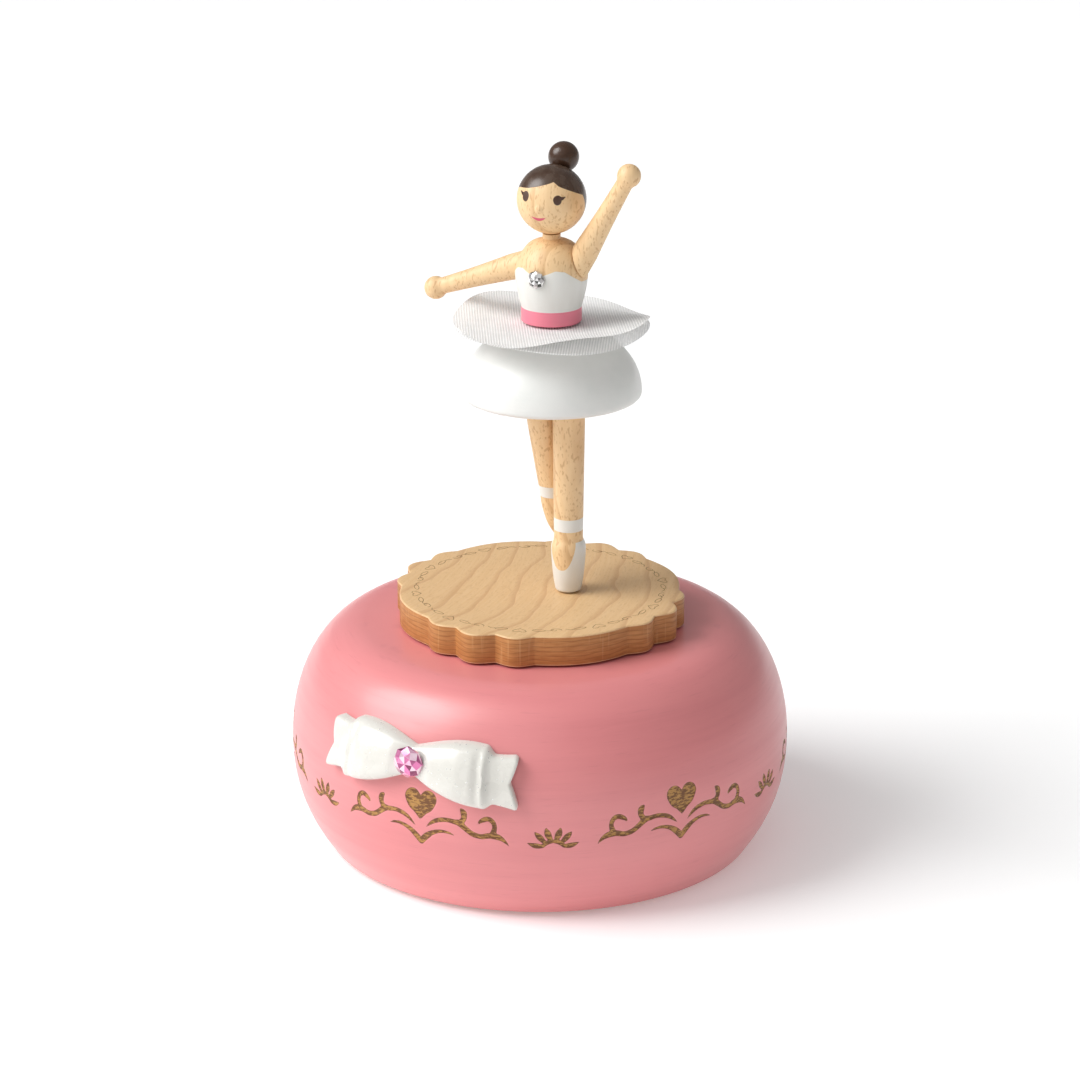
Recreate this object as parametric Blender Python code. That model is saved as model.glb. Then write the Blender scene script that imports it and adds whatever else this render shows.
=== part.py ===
"""Ballerina music box: turned wooden base, wind-up movement, scalloped turning stage and peg doll.

Blender 4.5, metres, +Z up. The turning axis is Z, the box stands on Z = 0 and its front is -Y.
"""

from math import acos, copysign, cos, hypot, pi, radians, sin, sqrt

import bmesh
import bpy
from mathutils import Matrix, Vector

MM = 0.001
GAP = 0.3 * MM  # left between pieces that touch
RUN = 0.1 * MM  # left round a shaft that turns in a bearing

# Base: a thick bowl of wood turned hollow from below
BASE_RADIUS = 60 * MM
BASE_FOOT_RADIUS = 52 * MM
BASE_EQUATOR_Z = 26 * MM
BASE_TOP_Z = 54.6 * MM
BASE_SHOULDER = 18 * MM  # how far the rounded shoulder reaches in from the rim
FOOT_CURVE = 2.3
PAD_RADIUS = 40 * MM
PAD_THICKNESS = 1 * MM
COVER_RADIUS = 49 * MM
COVER_THICKNESS = 3 * MM
CAVITY_RADIUS = 44 * MM
CAVITY_CORNER = 1.5 * MM
TOP_WALL = 8.6 * MM
SOUND_HOLE_RADIUS = 5 * MM
SOUND_HOLE_CIRCLE = 26 * MM
SOUND_HOLES = 4
COVER_SCREWS = 4
BASE_BOTTOM_Z = PAD_THICKNESS + GAP
COVER_TOP_Z = BASE_BOTTOM_Z + COVER_THICKNESS
REBATE_Z = COVER_TOP_Z + GAP
CEILING_Z = BASE_TOP_Z - TOP_WALL

COVER_SCREW_RADIUS = 1.2 * MM
COVER_SCREW_LENGTH = 9 * MM
SCREW_HEAD_SHARE = 1.75  # head radius over shank radius

# Bow, moulded to the round of the base, and its stone
BOW_Z = 39.7 * MM
BOW_TURN = radians(-2)
BOW_KNOT_HALF = 2.8 * MM
BOW_LOOP_HALF = 6.5 * MM
BOW_LOOP_END = 18.4 * MM
BOW_TAIL_END = 26.6 * MM
BOW_TAIL_HALF = 5.5 * MM
BOW_NOTCH = 2.8 * MM
BOW_KNOT_THICKNESS = 2.2 * MM
BOW_LOOP_THICKNESS = 4.2 * MM
BOW_TAIL_THICKNESS = 2.6 * MM
BOW_EDGE = 1.2 * MM
BOW_STONE_RADIUS = 3.6 * MM

# Stage: scalloped wooden disc, its hub and the felt ring under it
STAGE_RADIUS = 34.1 * MM  # at the middle of the four long lobes
STAGE_NOTCH_RADIUS = 33.3 * MM
STAGE_SIDE_LOBE_RADIUS = 34.9 * MM
STAGE_MID_LOBE_RADIUS = 35.7 * MM
STAGE_THICKNESS = 7.3 * MM
STAGE_LIFT = 0.5 * MM
STAGE_BOTTOM_Z = BASE_TOP_Z + STAGE_LIFT
STAGE_TOP_Z = STAGE_BOTTOM_Z + STAGE_THICKNESS
GLIDE_THICKNESS = 1.3 * MM
GLIDE_INNER = 12.5 * MM
GLIDE_OUTER = 17 * MM
GLIDE_TOP_Z = BASE_TOP_Z + GAP + GLIDE_THICKNESS
HUB_RADIUS = 4.5 * MM
HUB_FLANGE_RADIUS = 11.2 * MM
HUB_FLANGE = 1.5 * MM
HUB_BORE_DEPTH = 3 * MM
HUB_HOLE_CLEARANCE = 0.7 * MM
HUB_SCREW_CIRCLE = 8 * MM

# Movement: bedplate under the ceiling, everything else hangs from it
PLATE_THICKNESS = 2 * MM
PLATE_TOP_Z = CEILING_Z - GAP
PLATE_Z = PLATE_TOP_Z - PLATE_THICKNESS
PLATE_LEFT = -15 * MM
PLATE_RIGHT = 38.6 * MM
PLATE_FRONT = -25.5 * MM
PLATE_BACK = 19 * MM
ARBOR_RADIUS = 2 * MM
CUP_RADIUS = 12.5 * MM
CUP_WALL = 1 * MM
CUP_HEIGHT = 10.5 * MM
CUP_FLANGE = 2.9 * MM
CUP_TOP_Z = PLATE_Z - GAP
CUP_BOTTOM_Z = CUP_TOP_Z - CUP_HEIGHT
PLATE_SCREW_PLACES = [
    (-12 * MM, 16 * MM),
    (-12 * MM, -22.5 * MM),
    (29.5 * MM, 16.6 * MM),
]
PLATE_SCREW_RADIUS = 1.1 * MM
PLATE_SCREW_LENGTH = 7 * MM
RIVET_RADIUS = 0.8 * MM
COMB_SCREW_GRIP = 4 * MM
CUP_RIVET_PLACES = [(0, CUP_RADIUS + CUP_FLANGE / 2), (0, -CUP_RADIUS - CUP_FLANGE / 2)]
SPRING_TURNS = 6
SPRING_STRIP = 0.35 * MM

# Gear train: great wheel - cylinder - worm wheel - fan
WHEEL_MODULE = 0.695 * MM
WHEEL_TEETH = 42
CYLINDER_PINION_TEETH = 8
WHEEL_PITCH_RADIUS = WHEEL_MODULE * WHEEL_TEETH / 2
CYLINDER_PINION_RADIUS = WHEEL_MODULE * CYLINDER_PINION_TEETH / 2
WHEEL_RIM = 2 * MM
WHEEL_THICKNESS = 1.4 * MM
TRAIN_MODULE = 0.45 * MM
CYLINDER_GEAR_TEETH = 30
WORM_WHEEL_PINION_TEETH = 8
WORM_WHEEL_TEETH = 20
WORM_PITCH_RADIUS = 1.45 * MM
ADDENDUM = 0.72  # of the module
DEDENDUM = 1.0
CUP_TO_WHEEL = 0.5 * MM
WHEEL_TOP_Z = CUP_BOTTOM_Z - CUP_TO_WHEEL
WHEEL_PITCH_Z = WHEEL_TOP_Z + DEDENDUM * WHEEL_MODULE
CYLINDER_Z = WHEEL_PITCH_Z + CYLINDER_PINION_RADIUS
CYLINDER_RADIUS = 6 * MM
PIN_HEIGHT = 0.6 * MM
PIN_RADIUS = 0.16 * MM
TRACKS = 18
TRACK_PITCH = 0.82 * MM
PINS_PER_TRACK = 3
SHAFT_RADIUS = 0.8 * MM
PINION_WIDTH = 1.8 * MM
POST_WIDTH = 1 * MM
POST_HALF = 2.3 * MM
PINION_X = WHEEL_PITCH_RADIUS - PINION_WIDTH / 2
POST_X = PINION_X + PINION_WIDTH + GAP
CYLINDER_X = POST_X + POST_WIDTH + 0.4 * MM
CYLINDER_LENGTH = (TRACKS + 0.8) * TRACK_PITCH
GEAR_X = CYLINDER_X + CYLINDER_LENGTH + 0.35 * MM
GEAR_WIDTH = 1.2 * MM
WORM_WHEEL_X = GEAR_X + GEAR_WIDTH + 0.6 * MM
OUTER_POST_X = WORM_WHEEL_X
WORM_WHEEL_Y = TRAIN_MODULE * (CYLINDER_GEAR_TEETH + WORM_WHEEL_PINION_TEETH) / 2
WORM_WHEEL_RADIUS = TRAIN_MODULE * WORM_WHEEL_TEETH / 2
WORM_X = WORM_WHEEL_X + GEAR_WIDTH / 2
WORM_Y = WORM_WHEEL_Y + WORM_WHEEL_RADIUS + WORM_PITCH_RADIUS
WORM_TURNS = 4
FAN_RADIUS = 3.9 * MM
FAN_HEIGHT = 3 * MM
CHEEK = 1.2 * MM
COMB_THICKNESS = 1 * MM
COMB_ROOT_Y = -18 * MM
COMB_BACK_Y = -24.5 * MM
COMB_TIP_CLEARANCE = 0.12 * MM
TONGUE_WIDTH = 0.5 * MM

# Comb screws, collars, the governor's frame and the worm's shaft
COMB_SCREW_Y = -21.3 * MM
COMB_SCREW_INSET = 3 * MM
COMB_SCREW_PLACES = [
    (CYLINDER_X + COMB_SCREW_INSET, COMB_SCREW_Y),
    (CYLINDER_X + CYLINDER_LENGTH - COMB_SCREW_INSET, COMB_SCREW_Y),
]
COLLAR = 1.4 * MM
CHEEK_REACH = 1.5 * MM
INNER_CHEEK_X = GEAR_X - CHEEK_REACH
OUTER_CHEEK_X = WORM_WHEEL_X + GEAR_WIDTH + 0.5 * MM
FRAME_TOP_Z = PLATE_Z - GAP
FRAME_FOOT = 1.8 * MM
FRAME_LEFT = INNER_CHEEK_X
FRAME_RIGHT = OUTER_CHEEK_X + CHEEK
FRAME_INNER_Y = CYLINDER_RADIUS + PIN_HEIGHT + 0.6 * MM
FRAME_OUTER_Y = WORM_Y + 3.6 * MM
WORM_SHAFT_TOP_Z = FRAME_TOP_Z - 0.4 * MM
FAN_TOP_Z = CYLINDER_Z - WORM_TURNS / 2 * pi * TRAIN_MODULE - 1.2 * MM
FRAME_ARM_Z = FAN_TOP_Z - FAN_HEIGHT - 0.7 * MM
FRAME_ARM = 1.4 * MM
GOVERNOR_SCREW_PLACES = [
    (FRAME_LEFT + 1.4 * MM, WORM_Y + 1.6 * MM),
    (FRAME_RIGHT - 1.3 * MM, WORM_Y - 2.3 * MM),
]
WORM_SHAFT_RADIUS = 0.7 * MM

# Doll: stands on one foot near the middle of the stage and faces the front
DOLL_X = 2.5 * MM
DOLL_Y = 1.0 * MM
LEG_TOP_RADIUS = 3.9 * MM
LEG_OFFSET = LEG_TOP_RADIUS + 0.7 * MM
HIP_OFFSET = LEG_TOP_RADIUS - 0.3 * MM
ANKLE_RADIUS = 3.45 * MM
SHOE_RADIUS = 4.15 * MM
TOE_RADIUS = 3.1 * MM
SHOE_HEIGHT = 12.6 * MM
FOOT_PIN_RADIUS = 1 * MM
FOOT_PIN_DEPTH = 3 * MM
SOCKET_DEPTH = 4.3 * MM
SKIRT_Z = 110.6 * MM
SKIRT_RADIUS = 21.3 * MM
SKIRT_HEIGHT = 16.3 * MM
SKIRT_TOP_RADIUS = 8 * MM
SKIRT_EDGE = 1.2 * MM
TULLE_THICKNESS = 0.5 * MM
TULLE_RADIUS = 23 * MM
TULLE_BORE = 2.2 * MM
TULLE_FLAT = 9 * MM
TULLE_WAVE = 1.3 * MM
TULLE_LIFT = 1.2 * MM
WAIST_PEG_RADIUS = 1.6 * MM
WAIST_PEG_DEPTH = 6 * MM
SASH_RADIUS = 7.1 * MM
SASH_HEIGHT = 3.6 * MM
BUST_RADIUS = 8.5 * MM
BUST_HEIGHT = 11.8 * MM
SHOULDER_HEIGHT = 19.4 * MM
NECK_RADIUS = 2.1 * MM
HEAD_RADIUS = 8.06 * MM
NECK_LENGTH = 1.3 * MM
SPIGOT_RADIUS = 1.2 * MM
SPIGOT_LENGTH = 4.3 * MM
BUN_RADIUS = 3.6 * MM
BUN_DISTANCE = HEAD_RADIUS + BUN_RADIUS - 0.86 * MM
BUN_LIFT = radians(53)
BUN_PIN_RADIUS = 0.6 * MM
HEAD_TURN = radians(5)
HEAD_TILT = radians(2.5)
NOSE_RADIUS = 0.55 * MM
BODICE_STONE_RADIUS = 2 * MM
TULLE_Z = SKIRT_Z + SKIRT_HEIGHT + GAP
WAIST_Z = TULLE_Z + 2 * (TULLE_THICKNESS + GAP)
SHOULDER_Z = WAIST_Z + SHOULDER_HEIGHT
NECK_TOP_Z = SHOULDER_Z + NECK_LENGTH
HEAD_Z = NECK_TOP_Z + GAP + sqrt(HEAD_RADIUS**2 - NECK_RADIUS**2)

# Arms: one shape used twice, its slanted end turned half round on the other shoulder
ARM_LENGTH = 25 * MM  # from the shoulder facet to the middle of the hand
ARM_RADIUS = 3.05 * MM
WRIST_RADIUS = 1.95 * MM
HAND_RADIUS = 2.75 * MM
ARM_MITRE = radians(40)
FACET_SLOPE = radians(20)
FACET_DISTANCE = 7.2 * MM
LEFT_ARM_HEIGHT = 14.6 * MM  # above the waist
RIGHT_ARM_HEIGHT = 12.6 * MM
ARM_PEG_RADIUS = 0.8 * MM
ARM_PEG_LENGTH = 7 * MM


def clear_scene():
    for thing in list(bpy.data.objects):
        bpy.data.objects.remove(thing)


def look(name, colour, roughness, metallic=0.0):
    material = bpy.data.materials.new(name)
    material.use_nodes = True
    shader = material.node_tree.nodes["Principled BSDF"]
    shader.inputs["Base Color"].default_value = (*colour, 1)
    shader.inputs["Roughness"].default_value = roughness
    shader.inputs["Metallic"].default_value = metallic
    material.diffuse_color = (*colour, 1)
    return material


def keep(name, bm, material, parent=None, place=None):
    """Write the shape to a new named object."""
    bmesh.ops.recalc_face_normals(bm, faces=bm.faces)
    mesh = bpy.data.meshes.new(name)
    bm.to_mesh(mesh)
    bm.free()
    mesh.shade_smooth()
    mesh.set_sharp_from_angle(angle=radians(32))
    mesh.materials.append(material)
    thing = bpy.data.objects.new(name, mesh)
    bpy.context.scene.collection.objects.link(thing)
    if parent:
        thing.parent = parent
    if place:
        thing.matrix_basis = place
    return thing


def axis_empty(name, place, parent=None):
    """An empty on a joint's axis, which the moving pieces hang from."""
    empty = bpy.data.objects.new(name, None)
    bpy.context.scene.collection.objects.link(empty)
    empty.empty_display_size = 10 * MM
    empty.parent = parent
    empty.matrix_basis = place
    return empty


def helper(name, bm):
    """A shape that only cuts or joins another one."""
    thing = keep(name, bm, helper_look)
    thing.hide_render = True
    thing.display_type = "WIRE"
    return thing


def boolean(thing, other_bm, operation):
    name = f"{thing.name}.{operation.lower()}{len(thing.modifiers)}"
    modifier = thing.modifiers.new(operation.title(), "BOOLEAN")
    modifier.operation = operation
    modifier.solver = "EXACT"
    modifier.object = helper(name, other_bm)
    modifier.object.parent = thing.parent
    modifier.object.matrix_basis = thing.matrix_basis


def cut(thing, other_bm):
    boolean(thing, other_bm, "DIFFERENCE")


def fuse(thing, other_bm):
    boolean(thing, other_bm, "UNION")


def turned(outline, sides=32):
    """Turn a profile of (radius, height) points about Z. One that leaves the axis is a closed ring."""
    bm = bmesh.new()
    points = [bm.verts.new((radius, 0, z)) for radius, z in outline]
    edges = [bm.edges.new(pair) for pair in zip(points, points[1:])]
    if outline[0][0] > 0:
        edges.append(bm.edges.new((points[-1], points[0])))
    bmesh.ops.spin(
        bm,
        geom=points + edges,
        cent=(0, 0, 0),
        axis=(0, 0, 1),
        angle=2 * pi,
        steps=sides,
        use_merge=True,
    )
    bmesh.ops.remove_doubles(bm, verts=bm.verts, dist=0.001 * MM)
    bmesh.ops.recalc_face_normals(bm, faces=bm.faces)
    return bm


def rod(radius, low, high, sides=20):
    return turned([(0, low), (radius, low), (radius, high), (0, high)], sides)


def washer(inner, outer, low, high, sides=32):
    return turned([(inner, low), (outer, low), (outer, high), (inner, high)], sides)


def prism(outline, low, high):
    """Raise a flat outline of (x, y) points from one height to another."""
    bm = bmesh.new()
    face = bm.faces.new([bm.verts.new((x, y, low)) for x, y in outline])
    raised = bmesh.ops.extrude_face_region(bm, geom=[face])["geom"]
    top = [item for item in raised if isinstance(item, bmesh.types.BMVert)]
    bmesh.ops.translate(bm, verts=top, vec=(0, 0, high - low))
    bmesh.ops.recalc_face_normals(bm, faces=bm.faces)
    return bm


def box(x0, x1, y0, y1, z0, z1):
    return prism([(x0, y0), (x1, y0), (x1, y1), (x0, y1)], z0, z1)


def ball(radius, centre=(0, 0, 0), sides=28, rings=16):
    bm = bmesh.new()
    place = Matrix.Translation(centre)
    bmesh.ops.create_uvsphere(bm, u_segments=sides, v_segments=rings, radius=radius, matrix=place)
    return bm


def moved(bm, place):
    bmesh.ops.transform(bm, matrix=place, verts=bm.verts)
    return bm


def together(*shapes):
    """Several shapes that don't meet, in one helper."""
    joined = bmesh.new()
    for shape in shapes:
        mesh = bpy.data.meshes.new("joined")
        shape.to_mesh(mesh)
        shape.free()
        joined.from_mesh(mesh)
        bpy.data.meshes.remove(mesh)
    return joined


def shift(x=0.0, y=0.0, z=0.0):
    return Matrix.Translation((x, y, z))


def along_x(x=0.0, y=0.0, z=0.0):
    """Lay a piece that was made along Z down along +X."""
    return shift(x, y, z) @ Matrix.Rotation(pi / 2, 4, "Y")


def round_points(count, radius, start=0.0):
    steps = [start + 2 * pi * i / count for i in range(count)]
    return [(radius * cos(a), radius * sin(a)) for a in steps]


def swept(stations, sides=20):
    """A round peg through stations of (x, y, z, radius), with flat ends."""
    bm = bmesh.new()
    centres = [Vector(station[:3]) for station in stations]
    rings = []
    for i, station in enumerate(stations):
        ahead = centres[min(i + 1, len(centres) - 1)] - centres[max(i - 1, 0)]
        turn = ahead.to_track_quat("Z", "Y").to_matrix()
        points = [turn @ Vector((x, y, 0)) for x, y in round_points(sides, station[3])]
        rings.append([bm.verts.new(centres[i] + point) for point in points])
    for low, high in zip(rings, rings[1:]):
        for i in range(sides):
            j = (i + 1) % sides
            bm.faces.new((low[i], low[j], high[j], high[i]))
    bm.faces.new(rings[0])
    bm.faces.new(rings[-1])
    bmesh.ops.recalc_face_normals(bm, faces=bm.faces)
    return bm


def cut_flat(bm, point, normal):
    """Slice away what lies beyond a plane and close the cut."""
    geometry = bm.verts[:] + bm.edges[:] + bm.faces[:]
    bmesh.ops.bisect_plane(
        bm, geom=geometry, dist=1e-7, plane_co=point, plane_no=normal, clear_outer=True
    )
    rim = [edge for edge in bm.edges if edge.is_boundary]
    bmesh.ops.holes_fill(bm, edges=rim, sides=0)
    bmesh.ops.recalc_face_normals(bm, faces=bm.faces)


def gear_outline(teeth, module, phase):
    """Straight-sided teeth, thinner than half the pitch so that the train runs freely."""
    pitch_radius = module * teeth / 2
    root = pitch_radius - DEDENDUM * module
    tip = pitch_radius + ADDENDUM * module
    pitch = 2 * pi / teeth
    outline = []
    for i in range(teeth):
        middle = phase + i * pitch
        for share, radius in ((-0.27, root), (-0.1, tip), (0.1, tip), (0.27, root)):
            angle = middle + share * pitch
            outline.append((radius * cos(angle), radius * sin(angle)))
    return outline


def screw(head_radius, head, shank_radius, length, sides=16):
    """A countersunk screw, head up, its top at Z = 0."""
    tip = shank_radius * 1.6
    profile = [(0, -length), (shank_radius, tip - length), (shank_radius, -head), (head_radius, 0), (0, 0)]
    return turned(profile, sides)


def slotted(bm, name, slot_width, slot_depth, reach, material, parent, place):
    """Keep a screw and cut its driver slot."""
    thing = keep(name, bm, material, parent, place)
    cut(thing, box(-reach, reach, -slot_width / 2, slot_width / 2, -slot_depth, slot_depth))
    return thing


# The base


def base_radius_at(z):
    """Outer radius of the turned base at a height."""
    if z <= BASE_EQUATOR_Z:
        drop = (BASE_EQUATOR_Z - z) / (BASE_EQUATOR_Z - BASE_BOTTOM_Z)
        return BASE_RADIUS - (BASE_RADIUS - BASE_FOOT_RADIUS) * drop**FOOT_CURVE
    rise = min(1.0, (z - BASE_EQUATOR_Z) / (BASE_TOP_Z - BASE_EQUATOR_Z))
    return BASE_RADIUS - BASE_SHOULDER + BASE_SHOULDER * sqrt(1 - rise**2)


def base_outline():
    """Outer skin from the top hole outwards and down to the rim."""
    top_hole = HUB_RADIUS + HUB_HOLE_CLEARANCE
    outline = [(top_hole, BASE_TOP_Z)]
    for i in range(9):
        z = BASE_EQUATOR_Z + (BASE_TOP_Z - BASE_EQUATOR_Z) * cos(i / 8 * pi / 2)
        outline.append((base_radius_at(z), z))
    for i in range(1, 5):
        z = BASE_EQUATOR_Z - (BASE_EQUATOR_Z - BASE_BOTTOM_Z) * i / 4
        outline.append((base_radius_at(z), z))
    return outline


def cavity_outline():
    """Inner skin from the rebate for the cover up to the ceiling."""
    rebate = COVER_RADIUS + GAP
    outline = [(rebate, BASE_BOTTOM_Z), (rebate, REBATE_Z), (CAVITY_RADIUS, REBATE_Z)]
    for i in range(3):
        angle = i / 2 * pi / 2
        radius = CAVITY_RADIUS - CAVITY_CORNER * (1 - cos(angle))
        outline.append((radius, CEILING_Z - CAVITY_CORNER * (1 - sin(angle))))
    outline.append((HUB_RADIUS + HUB_HOLE_CLEARANCE, CEILING_Z))
    return outline


def cover_screw_places():
    circle = (CAVITY_RADIUS + COVER_RADIUS) / 2
    return round_points(COVER_SCREWS, circle, radians(45))


def build_base():
    body = keep("base_body", turned(base_outline() + cavity_outline(), 48), pink_paint)
    holes = []
    for x, y in cover_screw_places():
        top = BASE_BOTTOM_Z + COVER_SCREW_LENGTH + GAP
        holes.append(moved(rod(COVER_SCREW_RADIUS + GAP, 0, top, 12), shift(x, y)))
    for x, y in PLATE_SCREW_PLACES:
        low = CEILING_Z - 1 * MM
        high = PLATE_Z + PLATE_SCREW_LENGTH + GAP
        holes.append(moved(rod(PLATE_SCREW_RADIUS + GAP, low, high, 12), shift(x, y)))
    cut(body, together(*holes))


def sound_holes(low, high):
    places = round_points(SOUND_HOLES, SOUND_HOLE_CIRCLE)
    return [moved(rod(SOUND_HOLE_RADIUS, low, high, 12), shift(x, y)) for x, y in places]


def build_cover():
    cover = keep("bottom_cover", rod(COVER_RADIUS, BASE_BOTTOM_Z, COVER_TOP_Z, 40), plywood)
    holes = sound_holes(0, REBATE_Z)
    head = COVER_SCREW_RADIUS * SCREW_HEAD_SHARE
    for x, y in cover_screw_places():
        wide = head + GAP
        narrow = COVER_SCREW_RADIUS + GAP
        depth = 2 * head / 3
        profile = [
            (0, -MM),
            (wide, -MM),
            (wide, GAP),
            (narrow, depth + GAP),
            (narrow, COVER_THICKNESS + MM),
            (0, COVER_THICKNESS + MM),
        ]
        holes.append(moved(turned(profile, 16), shift(x, y, BASE_BOTTOM_Z)))
    cut(cover, together(*holes))
    for i, (x, y) in enumerate(cover_screw_places()):
        place = shift(x, y, BASE_BOTTOM_Z + GAP) @ Matrix.Rotation(pi, 4, "X")
        bm = screw(head, 2 * head / 3, COVER_SCREW_RADIUS, COVER_SCREW_LENGTH - GAP)
        slotted(bm, f"cover_screw_{i + 1}", 0.4 * MM, 0.5 * MM, head * 2, steel, None, place)
    pad = keep("foot_pad", rod(PAD_RADIUS, 0, PAD_THICKNESS, 40), black_foam)
    cut(pad, together(*sound_holes(-MM, PAD_THICKNESS + MM)))


# The bow


def bow_half_height(s):
    """Half the bow's height at a distance along it from the knot."""
    if s < BOW_LOOP_END:
        rise = sin(min(1, s / (0.9 * BOW_LOOP_END)) * pi / 2)
        return BOW_KNOT_HALF + (BOW_LOOP_HALF - BOW_KNOT_HALF) * rise
    share = (s - BOW_LOOP_END) / (BOW_TAIL_END - BOW_LOOP_END)
    return BOW_TAIL_HALF * (0.88 + 0.12 * share)


def bow_thickness(s):
    """Thickness of the bow along its middle: knot, puffed loop, fold, tail."""
    if s < BOW_LOOP_END:
        puff = sin(min(1, s / (0.8 * BOW_LOOP_END)) * pi / 2)
        return BOW_KNOT_THICKNESS + (BOW_LOOP_THICKNESS - BOW_KNOT_THICKNESS) * puff
    return BOW_TAIL_THICKNESS


def bow_point(side, share, height_share, front):
    """A point of the bow: share 0 to 1 runs from knot to tail end, height share -1 to 1."""
    reach = BOW_TAIL_END - BOW_NOTCH * (1 - abs(height_share))
    fold = BOW_LOOP_END / BOW_TAIL_END
    s = share * BOW_TAIL_END
    if share > fold:
        s = BOW_LOOP_END + (share - fold) / (1 - fold) * (reach - BOW_LOOP_END)
    z = BOW_Z + bow_half_height(s) * height_share
    radius = base_radius_at(z) + GAP
    if front:
        edge = min(BOW_EDGE, bow_thickness(s))
        radius += edge + (bow_thickness(s) - edge) * sqrt(max(0, 1 - abs(height_share) ** 3))
    angle = BOW_TURN + side * s / (BASE_RADIUS + BOW_EDGE)
    return (radius * sin(angle), -radius * cos(angle), z)


def build_bow():
    fold = BOW_LOOP_END / BOW_TAIL_END
    steps = [i / 9 * fold for i in range(10)] + [fold + 0.03, fold + 0.16, 1.0]
    shares = [(-1, share) for share in reversed(steps[1:])] + [(1, share) for share in steps]
    heights = [-1, -0.85, -0.55, -0.2, 0.2, 0.55, 0.85, 1]
    bm = bmesh.new()
    sheets = [
        [
            [bm.verts.new(bow_point(side, share, height, front)) for height in heights]
            for side, share in shares
        ]
        for front in (True, False)
    ]
    for sheet in sheets:
        for near, far in zip(sheet, sheet[1:]):
            for i in range(len(heights) - 1):
                bm.faces.new((near[i], near[i + 1], far[i + 1], far[i]))
    front, back = sheets
    rims = [
        ([row[0] for row in front], [row[0] for row in back]),
        ([row[-1] for row in front], [row[-1] for row in back]),
        (front[0], back[0]),
        (front[-1], back[-1]),
    ]
    for above, below in rims:
        for i in range(len(above) - 1):
            bm.faces.new((above[i], above[i + 1], below[i + 1], below[i]))
    keep("bow", bm, pearl_paint)
    out = base_radius_at(BOW_Z) + GAP + bow_thickness(BOW_STONE_RADIUS) + GAP
    place = Matrix.Rotation(BOW_TURN, 4, "Z") @ shift(0, -out, BOW_Z) @ Matrix.Rotation(pi / 2, 4, "X")
    keep("bow_stone", stone(BOW_STONE_RADIUS), pink_crystal, None, place)


def stone(radius):
    """A flat-backed cut stone, its back on Z = 0: girdle, eight crown facets twice over and a table."""
    bm = bmesh.new()
    levels = ((1.0, 0.0, 0.0), (1.0, 0.16, 0.0), (0.78, 0.42, pi / 12), (0.45, 0.6, 0.0))
    rings = [
        [bm.verts.new((x, y, z * radius)) for x, y in round_points(12, r * radius, turn)]
        for r, z, turn in levels
    ]
    bm.faces.new(rings[0])
    bm.faces.new(rings[-1])
    for low, high in zip(rings, rings[1:]):
        bmesh.ops.bridge_loops(bm, edges=ring_edges(bm, low) + ring_edges(bm, high))
    bmesh.ops.triangulate(bm, faces=[face for face in bm.faces if len(face.verts) == 4])
    return bm


def ring_edges(bm, ring):
    pairs = zip(ring, ring[1:] + ring[:1])
    return [bm.edges.get(pair) or bm.edges.new(pair) for pair in pairs]


# The movement


def train_hole(radius, x0, x1, y, z):
    """A bearing hole along X."""
    return moved(rod(radius, 0, x1 - x0, 24), along_x(x0, y, z))


def plate_outline():
    """The plate's corners, cut off where they would reach past the cavity."""
    reach = CAVITY_RADIUS - CAVITY_CORNER - GAP
    outline = []
    for x, y, first in (
        (PLATE_RIGHT, PLATE_BACK, "x"),
        (PLATE_LEFT, PLATE_BACK, "y"),
        (PLATE_LEFT, PLATE_FRONT, "x"),
        (PLATE_RIGHT, PLATE_FRONT, "y"),
    ):
        if hypot(x, y) <= reach:
            outline.append((x, y))
            continue
        cuts = [(x, copysign(sqrt(reach**2 - x**2), y)), (copysign(sqrt(reach**2 - y**2), x), y)]
        outline += cuts if first == "x" else cuts[::-1]
    return outline


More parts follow.
